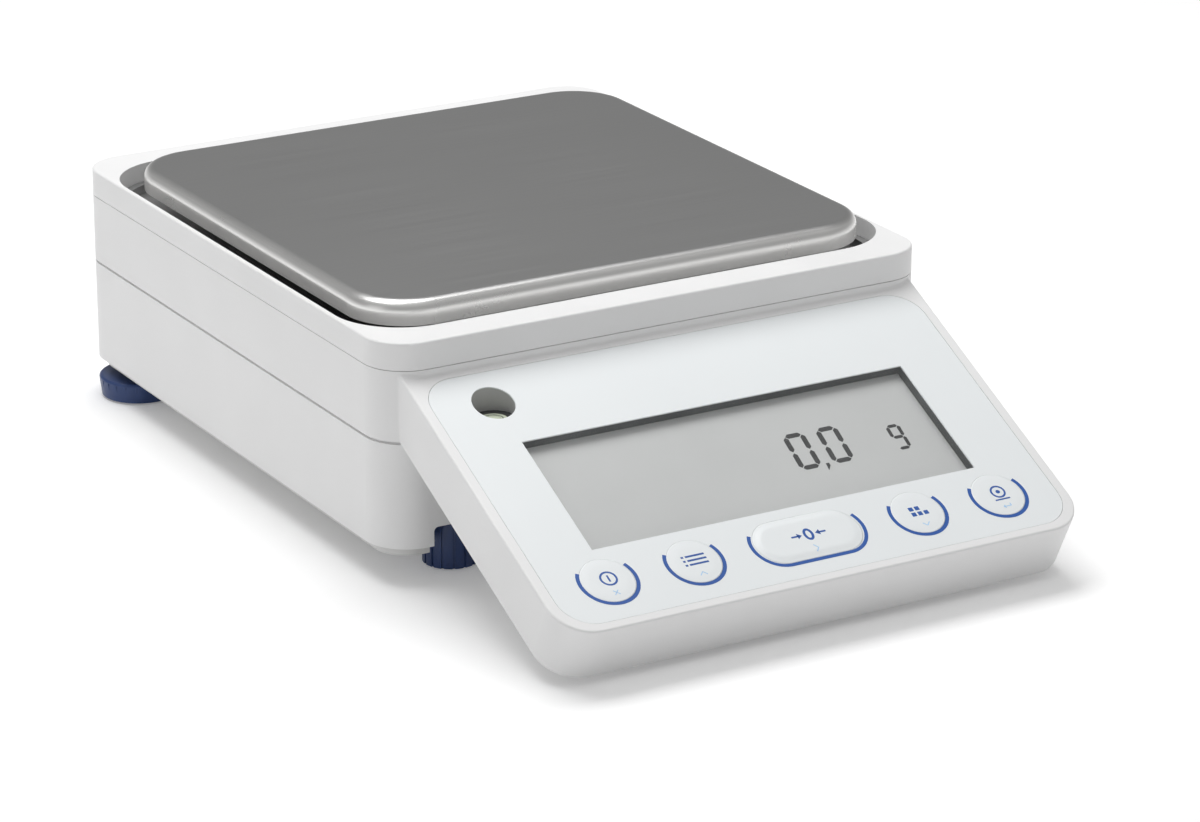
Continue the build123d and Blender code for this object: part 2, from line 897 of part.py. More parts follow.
with BuildPart() as carrier_post:
    with Locations((0, live_end_y, cell_top + load_travel_gap)):
        Cylinder(post_radius, post_top - cell_top - load_travel_gap, align=UP)
        Cylinder(
            hook_bolt_radius + screw_fit,
            post_bolt_depth,
            align=UP,
            mode=Mode.SUBTRACT,
        )
    with Locations((0, live_end_y, post_top)):
        with PolarLocations(carrier_screw_circle, carrier_screw_count):
            Cylinder(
                small_screw_radius + screw_fit,
                small_bite + wall,
                align=DOWN,
                mode=Mode.SUBTRACT,
            )
save(carrier_post.part, "carrier_post")

with BuildPart() as carrier_screws:
    with Locations((0, live_end_y, carrier_top)):
        with PolarLocations(carrier_screw_circle, carrier_screw_count):
            Cylinder(small_head_radius, small_head_height, align=DOWN)
            Cylinder(
                small_screw_radius,
                carrier_plate + carrier_hub_height + small_bite,
                align=DOWN,
            )
save(carrier_screws.part, "carrier_screws")

# Hook bolt: passes through the live end and ends in an eye for weighing below
with BuildPart() as hook_bolt:
    with Locations((0, live_end_y, cell_bottom - hook_bolt_gap)):
        Cylinder(hook_head_radius, hook_head_height, align=DOWN)
        Cylinder(
            hook_bolt_radius,
            cell_height + hook_bolt_gap + load_travel_gap + post_bolt_depth - wall,
            align=UP,
        )
    eye_top = cell_bottom - hook_bolt_gap - hook_head_height
    with Locations((0, live_end_y, eye_top)):
        Box(
            hook_eye_width,
            hook_eye_thickness,
            eye_top - base_bottom_height - hook_eye_gap,
            align=DOWN,
        )
    with Locations((0, live_end_y, (eye_top + base_bottom_height) / 2)):
        Cylinder(
            hook_eye_hole,
            hook_eye_thickness,
            rotation=(90, 0, 0),
            mode=Mode.SUBTRACT,
        )
save(hook_bolt.part, "hook_bolt")

# Swivelling cover over the hook's hole, on its own screw
with BuildPart() as hook_cover:
    with BuildSketch(Plane.XY.offset(base_bottom_height - hook_cover_gap)) as flap:
        with Locations((0, live_end_y)):
            Circle(hook_hole_radius + hook_cover_overlap)
        with Locations((hook_pivot_offset, live_end_y)):
            Circle(small_head_radius + hook_cover_overlap)
        with Locations((hook_pivot_offset / 2, live_end_y)):
            Rectangle(hook_pivot_offset, 2 * small_head_radius + hook_cover_overlap)
        with Locations((hook_pivot_offset, live_end_y)):
            Circle(small_screw_radius + screw_fit, mode=Mode.SUBTRACT)
    extrude(amount=-hook_cover_thickness)
save(hook_cover.part, "hook_cover")

cover_screw_seat = base_bottom_height - hook_cover_thickness - 2 * hook_cover_gap
with BuildPart() as hook_cover_screw:
    with Locations((hook_pivot_offset, live_end_y, cover_screw_seat)):
        Cylinder(small_head_radius, small_head_height, align=DOWN)
        Cylinder(
            small_screw_radius,
            hook_cover_thickness + 2 * hook_cover_gap + base_floor,
            align=UP,
        )
    cut_cross([(hook_pivot_offset, live_end_y)], cover_screw_seat - small_head_height)
save(hook_cover_screw.part, "hook_cover_screw")

# Load cell: one block, thinned by two joined bores into a parallelogram
with BuildPart() as load_cell:
    with Locations((0, pan_y, cell_bottom)):
        Box(cell_width, cell_length, cell_height, align=UP)
    with BuildSketch(Plane.YZ) as binocular:
        for side in (-1, 1):
            with Locations((pan_y + side * cell_bore_spacing / 2, (cell_bottom + cell_top) / 2)):
                Circle(cell_bore_radius)
        with Locations((pan_y, (cell_bottom + cell_top) / 2)):
            Rectangle(cell_bore_spacing, cell_slot)
    extrude(amount=cell_width, both=True, mode=Mode.SUBTRACT)
    with Locations((0, live_end_y, cell_bottom)):
        Cylinder(
            hook_bolt_radius + hook_bolt_gap,
            cell_height,
            align=UP,
            mode=Mode.SUBTRACT,
        )
    with Locations((0, fixed_end_y, cell_bottom)):
        with GridLocations(0, cell_screw_spacing, 1, 2):
            Cylinder(
                cell_screw_radius + screw_fit,
                cell_height,
                align=UP,
                mode=Mode.SUBTRACT,
            )
save(load_cell.part, "load_cell")

with BuildPart() as load_cell_spacer:
    with Locations((0, fixed_end_y, base_floor_top)):
        Box(cell_width, cell_spacer_length, cell_spacer_height, align=UP)
        with GridLocations(0, cell_screw_spacing, 1, 2):
            Cylinder(
                cell_screw_radius + screw_fit,
                cell_spacer_height,
                align=UP,
                mode=Mode.SUBTRACT,
            )
save(load_cell_spacer.part, "load_cell_spacer")

with BuildPart() as load_cell_screws:
    with Locations((0, fixed_end_y, cell_top)):
        with GridLocations(0, cell_screw_spacing, 1, 2):
            Cylinder(cell_screw_head_radius, cell_screw_head_height, align=UP)
            Cylinder(
                cell_screw_radius,
                cell_height + cell_spacer_height,
                align=DOWN,
            )
            with Locations((0, 0, cell_screw_head_height)):
                Cylinder(
                    small_head_radius,
                    small_head_height,
                    align=DOWN,
                    mode=Mode.SUBTRACT,
                )
save(load_cell_screws.part, "load_cell_screws")

with BuildPart() as strain_gauges:
    for height, seat in ((cell_top, UP), (cell_bottom, DOWN)):
        for side in (-1, 1):
            with Locations((0, pan_y + side * cell_bore_spacing / 2, height)):
                Box(gauge_width, gauge_length, gauge_thickness, align=seat)
save(strain_gauges.part, "strain_gauges")

with BuildPart() as overload_stops:
    with Locations((0, live_end_y, base_floor_top)):
        with GridLocations(2 * stop_offset, 0, 2, 1):
            Cylinder(stop_radius, cell_spacer_height - stop_gap, align=UP)
save(overload_stops.part, "overload_stops")

# Control foil and the keypad layers under it
window_cut = display_frame_wall + display_frame_gap
spacer_depth = foil_sink + foil_thickness
circuit_depth = spacer_depth + spacer_thickness
level_clearance = (level_tube_radius + level_tube_wall + key_well_gap) / slope_cos
level_drift = slope_sin / slope_cos
with BuildPart() as control_foil:
    extrude(
        panel_rectangle(foil_sink, foil_width, foil_front, foil_length, foil_corner_radius),
        amount=-foil_thickness,
    )
    extrude(panel_window(foil_sink, 0), amount=-foil_thickness, mode=Mode.SUBTRACT)
    extrude(
        panel_disc(foil_sink, [(level_x, level_reach)], level_hole_radius),
        amount=-foil_thickness,
        mode=Mode.SUBTRACT,
    )
    for name in key_points:
        extrude(key_outline(foil_sink, name, key_fit), amount=-foil_thickness, mode=Mode.SUBTRACT)
save(control_foil.part, "control_foil")

with BuildPart() as display_window:
    extrude(panel_window(foil_sink, -bond_gap), amount=-foil_thickness)
save(display_window.part, "display_window")

with BuildPart() as keypad_spacer:
    extrude(
        panel_rectangle(spacer_depth, foil_width, foil_front, foil_length, foil_corner_radius),
        amount=-spacer_thickness,
    )
    extrude(
        panel_window(spacer_depth, window_cut),
        amount=-spacer_thickness,
        mode=Mode.SUBTRACT,
    )
    extrude(
        panel_disc(
            spacer_depth,
            [(level_x, level_reach - spacer_depth * level_drift)],
            level_clearance,
        ),
        amount=-spacer_thickness,
        mode=Mode.SUBTRACT,
    )
    for name in key_points:
        extrude(
            key_outline(spacer_depth, name, key_well_gap),
            amount=-spacer_thickness,
            mode=Mode.SUBTRACT,
        )
save(keypad_spacer.part, "keypad_spacer")

with BuildPart() as keypad_circuit:
    extrude(
        panel_rectangle(circuit_depth, foil_width, foil_front, foil_length, foil_corner_radius),
        amount=-circuit_thickness,
    )
    extrude(
        panel_window(circuit_depth, window_cut),
        amount=-circuit_thickness,
        mode=Mode.SUBTRACT,
    )
    extrude(
        panel_disc(
            circuit_depth,
            [(level_x, level_reach - circuit_depth * level_drift)],
            level_clearance,
        ),
        amount=-circuit_thickness,
        mode=Mode.SUBTRACT,
    )
    with BuildSketch(panel.offset(-circuit_depth)) as tail:
        with Locations((-tail_x, key_reach)):
            Rectangle(circuit_thickness, tail_width)
    extrude(amount=circuit_depth - board_depth)
save(keypad_circuit.part, "keypad_circuit")

with BuildPart() as snap_domes:
    extrude(
        panel_disc(
            circuit_depth,
            [(x, key_reach) for x in key_points.values()],
            dome_radius,
        ),
        amount=dome_height,
        taper=45,
    )
save(snap_domes.part, "snap_domes")

# Keys: embossed pads that sink into their wells until the dome clicks
for name in key_points:
    with BuildPart() as key:
        extrude(key_outline(key_thickness - key_proud, name, 0), amount=key_thickness)
        fillet(
            key.faces().sort_by(lambda face: panel.to_local_coords(face.center()).Z)[-1].edges(),
            key_edge_round,
        )
    save(key.part, f"{name}_key")

# Display: dark frame, glass cell, reflector and the board that carries them
with BuildPart() as display_frame:
    extrude(
        panel_window(spacer_depth, display_frame_wall),
        amount=spacer_depth - console_top_wall,
    )
    extrude(
        panel_window(console_top_wall, display_frame_flange),
        amount=console_top_wall - lcd_depth - lcd_thickness,
    )
    extrude(panel_window(0, 0), amount=-2 * lcd_depth, mode=Mode.SUBTRACT)
    extrude(
        panel_window(lcd_depth, lcd_margin + display_frame_gap),
        amount=-2 * lcd_thickness,
        mode=Mode.SUBTRACT,
    )
save(display_frame.part, "display_frame")

with BuildPart() as lcd_glass:
    extrude(panel_window(lcd_depth, lcd_margin), amount=-lcd_thickness)
save(lcd_glass.part, "lcd_glass")

with BuildPart() as backlight:
    extrude(
        panel_window(lcd_depth + lcd_thickness, lcd_margin),
        amount=-backlight_thickness,
    )
save(backlight.part, "backlight")

with BuildPart() as display_board:
    with BuildSketch(panel.offset(-board_depth)) as board:
        with Locations((0, panel_board_front + panel_board_length / 2)):
            Rectangle(panel_board_width, panel_board_length)
        with Locations(
            (
                -panel_board_width / 2,
                panel_board_front + panel_board_length,
            )
        ):
            Rectangle(2 * board_notch, 2 * board_notch_length, mode=Mode.SUBTRACT)
    extrude(amount=-board_thickness)
    extrude(
        panel_disc(board_depth, board_boss_points, small_screw_radius + screw_fit),
        amount=-board_thickness,
        mode=Mode.SUBTRACT,
    )
save(display_board.part, "display_board")

# Level: an upright cup under the foil's round hole, with a bullseye vial
level_cup_bottom = level_floor_height
vial_bottom = level_cup_bottom + level_floor_thickness
with BuildPart() as level_cup:
    with Locations((level_x, level_y, level_cup_bottom)):
        Cylinder(
            level_tube_radius + level_tube_wall,
            rim_height - level_cup_bottom,
            align=UP,
        )
    with Locations((level_x, level_y, vial_bottom)):
        Cylinder(level_tube_radius, rim_height - vial_bottom, align=UP, mode=Mode.SUBTRACT)
    split(bisect_by=panel.offset(-spacer_depth), keep=Keep.BOTTOM)
save(level_cup.part, "level_cup")

with BuildPart() as level_vial:
    with Locations((level_x, level_y, vial_bottom)):
        Cylinder(level_tube_radius - vial_gap, vial_height - vial_ring_height, align=UP)
        Cylinder(
            level_tube_radius - vial_gap - vial_ring_width - bond_gap,
            vial_height,
            align=UP,
        )
save(level_vial.part, "level_vial")

with BuildPart() as level_ring:
    with BuildSketch(Plane.XY.offset(vial_bottom + vial_height)) as ring:
        with Locations((level_x, level_y)):
            Circle(level_tube_radius - vial_gap)
            Circle(level_tube_radius - vial_gap - vial_ring_width, mode=Mode.SUBTRACT)
    extrude(amount=-vial_ring_height)
save(level_ring.part, "level_ring")

# Main board on its standoffs, with chips
board_y = body_back_y - main_board_back - main_board_length / 2
standoff_top = base_floor_top + standoff_height
board_top = standoff_top + board_thickness
standoff_x = main_board_width / 2 - standoff_inset
standoff_reach = main_board_length / 2 - standoff_inset
standoff_points = [
    (sx * standoff_x, board_y + sy * standoff_reach)
    for sx in (-1, 1)
    for sy in (-1, 1)
]
with BuildPart() as board_standoffs:
    with Locations(*[(x, y, base_floor_top) for x, y in standoff_points]):
        Cylinder(standoff_radius, standoff_height, align=UP)
        Cylinder(
            small_screw_radius + screw_fit,
            standoff_height,
            align=UP,
            mode=Mode.SUBTRACT,
        )
save(board_standoffs.part, "board_standoffs")

with BuildPart() as main_board:
    with Locations((0, board_y, standoff_top)):
        Box(main_board_width, main_board_length, board_thickness, align=UP)
    with Locations(*[(x, y, standoff_top) for x, y in standoff_points]):
        Cylinder(small_screw_radius + screw_fit, board_thickness, align=UP, mode=Mode.SUBTRACT)
    with Locations((0, board_y - main_board_length / 4, board_top)):
        with GridLocations(2 * chip_size, 0, 3, 1):
            Box(chip_size, chip_size, chip_thickness, align=UP)
save(main_board.part, "main_board")

# The display board and the main board are held by the same small screws
with BuildPart() as board_screws:
    with Locations(*[(x, y, board_top) for x, y in standoff_points]):
        Cylinder(small_head_radius, small_head_height, align=UP)
        Cylinder(small_screw_radius, board_thickness + small_bite, align=DOWN)
    extrude(
        panel_disc(board_depth + board_thickness, board_boss_points, small_head_radius),
        amount=-small_head_height,
    )
    extrude(
        panel_disc(board_depth + board_thickness, board_boss_points, small_screw_radius),
        amount=board_thickness + small_bite - wall / 2,
    )
save(board_screws.part, "board_screws")

# Power inlet: a round socket with its contact pin
with BuildPart() as power_inlet:
    with Locations((inlet_x, body_back_y - wall - tray_gap, board_top)):
        Box(
            inlet_body_width,
            inlet_body_length,
            inlet_body_height,
            align=(Align.CENTER, Align.MAX, Align.MIN),
        )
    with BuildSketch(Plane.XZ.offset(port_setback - body_back_y)) as collar:
        with Locations((inlet_x, inlet_height)):
            Circle(inlet_collar_radius)
    extrude(amount=wall + tray_gap - port_setback)
    with BuildSketch(Plane.XZ.offset(port_setback - body_back_y)) as bore:
        with Locations((inlet_x, inlet_height)):
            Circle(inlet_bore_radius)
    extrude(amount=inlet_bore_depth, mode=Mode.SUBTRACT)
save(power_inlet.part, "power_inlet")

with BuildPart() as inlet_pin:
    with BuildSketch(Plane.XZ.offset(inlet_bore_depth + port_setback - body_back_y)) as pin:
        with Locations((inlet_x, inlet_height)):
            Circle(inlet_pin_radius)
    extrude(amount=-(inlet_bore_depth - wall))
save(inlet_pin.part, "inlet_pin")

# Serial port: metal shell on its flange, insulating block and two hex posts
port_face_y = body_back_y - port_setback
flange_y = port_face_y - port_shell_length


def port_shape(y, margin):
    """The D-shaped outline of the port, widened by a margin, facing back."""
    with BuildSketch(Plane.XZ.offset(-y)) as sketch:
        with Locations((port_x, port_height)):
            Trapezoid(
                port_shell_width + 2 * margin,
                port_shell_height + 2 * margin,
                90 - port_shell_slant,
                rotation=180,
            )
        fillet(sketch.vertices(), port_shell_height / 4 + margin)
    return sketch.sketch


with BuildPart() as serial_shell:
    with BuildSketch(Plane.XZ.offset(-flange_y)) as flange:
        with Locations((port_x, port_height)):
            RectangleRounded(port_flange_width, port_flange_height, port_cutout_gap)
            with GridLocations(port_screw_spacing, 0, 2, 1):
                Circle(small_screw_radius + screw_fit, mode=Mode.SUBTRACT)
    extrude(amount=port_flange_thickness)
    extrude(port_shape(flange_y, 0), amount=-port_shell_length)
    extrude(port_shape(port_face_y, -port_shell_wall), amount=2 * port_shell_length, mode=Mode.SUBTRACT)
save(serial_shell.part, "serial_shell")

with BuildPart() as serial_block:
    extrude(
        port_shape(port_face_y - port_setback, -port_shell_wall - bond_gap),
        amount=port_shell_length + port_flange_thickness - port_setback,
    )
    with BuildSketch(Plane.XZ.offset(port_setback - port_face_y)) as contact_holes:
        for row, count in ((1, 5), (-1, 4)):
            with Locations((port_x, port_height + row * contact_row_gap / 2)):
                with GridLocations(contact_pitch, 0, count, 1):
                    Circle(contact_hole_radius)
    extrude(amount=contact_hole_depth, mode=Mode.SUBTRACT)
    with Locations((port_x, flange_y - port_flange_thickness, board_top)):
        Box(
            port_flange_width - 2 * port_screw_radius,
            port_body_length,
            port_flange_height - port_cutout_gap,
            align=(Align.CENTER, Align.MAX, Align.MIN),
        )
save(serial_block.part, "serial_block")

with BuildPart() as serial_posts:
    with BuildSketch(Plane.XZ.offset(-flange_y)) as posts:
        with Locations((port_x, port_height)):
            with GridLocations(port_screw_spacing, 0, 2, 1):
                RegularPolygon(port_screw_radius, 6)
    extrude(amount=-port_shell_length)
    with BuildSketch(Plane.XZ.offset(-flange_y)) as post_stems:
        with Locations((port_x, port_height)):
            with GridLocations(port_screw_spacing, 0, 2, 1):
                Circle(small_screw_radius)
    extrude(amount=port_flange_thickness)
save(serial_posts.part, "serial_posts")

# Housing screws: from below, through the base plate into the long bosses
with BuildPart() as housing_screws:
    with Locations(*[(x, y, base_bottom_height) for x, y in housing_boss_points]):
        Cylinder(screw_head_radius, screw_head_height, align=DOWN)
        Cylinder(screw_radius, base_floor + screw_bite, align=UP)
    cut_cross(housing_boss_points, base_bottom_height - screw_head_height)
save(housing_screws.part, "housing_screws")

# Threaded bushes that hold the studs of the feet
with BuildPart() as foot_bushes:
    for points, height in (
        (front_foot_points, front_cup_ceiling),
        (rear_foot_points, base_floor_top),
    ):
        with Locations(*[(x, y, height) for x, y in points]):
            Cylinder(bush_radius, bush_length, align=UP)
            Cylinder(stud_radius + stud_fit, bush_length, align=UP, mode=Mode.SUBTRACT)
save(foot_bushes.part, "foot_bushes")


def foot_knob(point, bottom_radius, top_radius, top_height, groove_count):
    """A grooved knob around the stud, with a recess for the rubber pad."""
    x, y = point
    pocket_radius = bottom_radius - pad_rim
    with BuildPart() as knob:
        with BuildSketch(Plane.XZ) as profile:
            with BuildLine():
                Polyline(
                    (stud_radius, knob_lift + pad_recess),
                    (pocket_radius, knob_lift + pad_recess),
                    (pocket_radius, knob_lift),
                    (bottom_radius, knob_lift),
                    (top_radius, top_height),
                    (stud_radius, top_height),
                    close=True,
                )
            make_face()
            fillet(
                profile.vertices().group_by(Axis.Y)[-1].sort_by(Axis.X)[-1],
                knob_edge_round,
            )
        revolve(axis=Axis.Z)
        with PolarLocations(top_radius, groove_count):
            with Locations((0, 0, knob_lift)):
                Box(
                    2 * groove_depth,
                    groove_width,
                    top_height - knob_lift - knob_edge_round,
                    align=UP,
                    mode=Mode.SUBTRACT,
                )
    return knob.part.moved(Location((x, y, 0)))


def foot_stud(point, end_height):
    """The threaded stud that turns with its knob."""
    x, y = point
    with BuildPart() as stud:
        with Locations((x, y, knob_lift + pad_recess)):
            Cylinder(
                stud_radius,
                end_height - knob_lift - pad_recess,
                align=UP,
            )
    return stud.part


def foot_pad(point, bottom_radius):
    """The rubber pad that stands on the table."""
    x, y = point
    with BuildPart() as pad:
        with Locations((x, y, 0)):
            Cylinder(bottom_radius - pad_rim - pad_gap, knob_lift + pad_recess, align=UP)
    return pad.part


rear_bottom_radius = rear_knob_radius - rear_knob_taper
for side, point in zip(("left", "right"), front_foot_points):
    stud_end = front_cup_top + stud_overrun
    save(
        foot_knob(
            point,
            front_knob_radius,
            front_knob_radius,
            front_knob_top_height,
            front_knob_groove_count,
        ),
        f"front_{side}_knob",
    )
    save(foot_stud(point, stud_end), f"front_{side}_stud")
    save(foot_pad(point, front_knob_radius), f"front_{side}_pad")
for side, point in zip(("left", "right"), rear_foot_points):
    stud_end = rear_boss_top + stud_overrun
    save(
        foot_knob(
            point,
            rear_bottom_radius,
            rear_knob_radius,
            rear_knob_top_height,
            rear_knob_groove_count,
        ),
        f"rear_{side}_knob",
    )
    save(foot_stud(point, stud_end), f"rear_{side}_stud")
    save(foot_pad(point, rear_bottom_radius), f"rear_{side}_pad")
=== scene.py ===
"""Looks of a bench precision balance.

It dresses the CAD parts with their finishes, adds the embossed keys with their printed signs, the
display's reading and the level's marks, and sets up the floor, the light and the camera.
"""

import json
import logging
import math
from dataclasses import dataclass, field, replace
from enum import Enum

import bpy
import numpy as np
from mathutils import Matrix, Vector

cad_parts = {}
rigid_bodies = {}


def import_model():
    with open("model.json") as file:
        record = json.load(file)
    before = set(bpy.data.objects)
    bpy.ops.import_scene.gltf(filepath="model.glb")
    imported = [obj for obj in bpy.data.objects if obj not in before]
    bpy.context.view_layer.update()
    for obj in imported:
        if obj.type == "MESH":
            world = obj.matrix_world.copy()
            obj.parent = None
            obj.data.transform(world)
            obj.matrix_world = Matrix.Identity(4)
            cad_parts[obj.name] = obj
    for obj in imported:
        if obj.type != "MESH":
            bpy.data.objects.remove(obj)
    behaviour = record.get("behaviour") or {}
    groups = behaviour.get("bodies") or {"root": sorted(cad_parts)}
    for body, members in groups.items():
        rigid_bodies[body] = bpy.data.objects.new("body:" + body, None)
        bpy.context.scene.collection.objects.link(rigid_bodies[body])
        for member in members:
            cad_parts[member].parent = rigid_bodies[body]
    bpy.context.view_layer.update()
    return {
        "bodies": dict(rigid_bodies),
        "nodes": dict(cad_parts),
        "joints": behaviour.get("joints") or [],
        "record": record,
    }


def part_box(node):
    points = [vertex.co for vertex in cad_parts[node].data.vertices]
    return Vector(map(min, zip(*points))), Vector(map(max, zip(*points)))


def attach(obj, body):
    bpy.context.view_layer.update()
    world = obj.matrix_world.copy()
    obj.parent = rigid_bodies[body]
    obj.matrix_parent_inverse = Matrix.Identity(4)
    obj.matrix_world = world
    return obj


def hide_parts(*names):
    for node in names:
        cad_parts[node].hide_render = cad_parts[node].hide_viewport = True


log = logging.getLogger("balance")
MM = 0.001
NOISE_LOW, NOISE_HIGH = 0.3, 0.7
SLOW_SCALE = 45.0
WEAR_SCALE = 220.0
FLAT_DOT, SHARP_DOT = 0.995, 0.85
SMUDGE_SCALE = 40.0
ROUND_STEPS = 48

MID_GREY = (0.8, 0.8, 0.8)

Colour = tuple[float, float, float]
Place = tuple[float, float, float]
Pair = tuple[float, float]
Faces = list[tuple[int, ...]]
Socket = bpy.types.NodeSocket
Node = bpy.types.Node
Tree = bpy.types.NodeTree
Material = bpy.types.Material
Materials = dict[str, Material]


def rgba(colour: Colour, factor: float = 1.0) -> tuple[float, float, float, float]:
    """Returns a colour times a factor, with full alpha."""
    return tuple(min(1.0, c * factor) for c in colour) + (1.0,)


class Effect(Enum):
    """The shader groups that several finishes share."""

    GRAIN = "Fine grain"
    CLOUDS = "Clouding"
    BRUSHING = "Brushing"
    WEAR = "Edge wear"


class Graph:
    """Adds nodes to one shader tree and joins them."""

    def __init__(self, tree: Tree) -> None:
        """Keeps the tree that the nodes go into."""
        self.tree = tree

    def add(self, kind: str, inputs: dict | None = None, **settings: object) -> Node:
        """Adds one node with its settings, and fills its inputs.

        Args:
            kind: Blender's name of the node type.
            inputs: socket name or number, with a value or another node's output.
            settings: the node's own properties.

        Returns:
            The new node.
        """
        node = self.tree.nodes.new(kind)
        for name, value in settings.items():
            setattr(node, name, value)
        for key, value in (inputs or {}).items():
            if isinstance(value, Socket):
                self.tree.links.new(value, node.inputs[key])
            else:
                node.inputs[key].default_value = value
        return node

    def blend(self, mask: Socket, first: object, second: object) -> Socket:
        """Mixes two colours.

        Args:
            mask: 0 for the first colour, 1 for the second.
            first: a colour or a socket that gives one.
            second: the same.

        Returns:
            The mixed colour's socket.
        """
        mix = self.add("ShaderNodeMix", data_type="RGBA")
        wanted = (("Factor", "VALUE", mask), ("A", "RGBA", first), ("B", "RGBA", second))
        for name, kind, value in wanted:
            socket = next(s for s in mix.inputs if s.name == name and s.type == kind)
            if isinstance(value, Socket):
                self.tree.links.new(value, socket)
            else:
                socket.default_value = value
        return next(s for s in mix.outputs if s.type == "RGBA")

    def spread(self, value: Socket, low: object, high: object) -> Socket:
        """Stretches a noise value's middle range from low to high, and returns the result."""
        limits = {0: value, 1: NOISE_LOW, 2: NOISE_HIGH, 3: low, 4: high}
        return self.add("ShaderNodeMapRange", limits).outputs[0]

    def place(self) -> Socket:
        """Returns the point's own coordinates on the object."""
        return self.add("ShaderNodeTexCoord").outputs["Object"]

    def noise(self, scale: object, detail: float) -> Socket:
        """Returns plain noise over the object, at a scale and with so many finer layers."""
        inputs = {"Vector": self.place(), "Scale": scale, "Detail": detail}
        return self.add("ShaderNodeTexNoise", inputs).outputs[0]

    def math(self, operation: str, first: Socket, second: object) -> Socket:
        """Joins two values by an operation and returns the result."""
        return self.add("ShaderNodeMath", {0: first, 1: second}, operation=operation).outputs[0]

    def group(self, tree: Tree, values: dict) -> Node:
        """Adds a shared group with its own values.

        Args:
            tree: the group.
            values: input name, with its value.

        Returns:
            The group node.
        """
        node = self.add("ShaderNodeGroup", node_tree=tree)
        for name, value in values.items():
            node.inputs[name].default_value = value
        return node


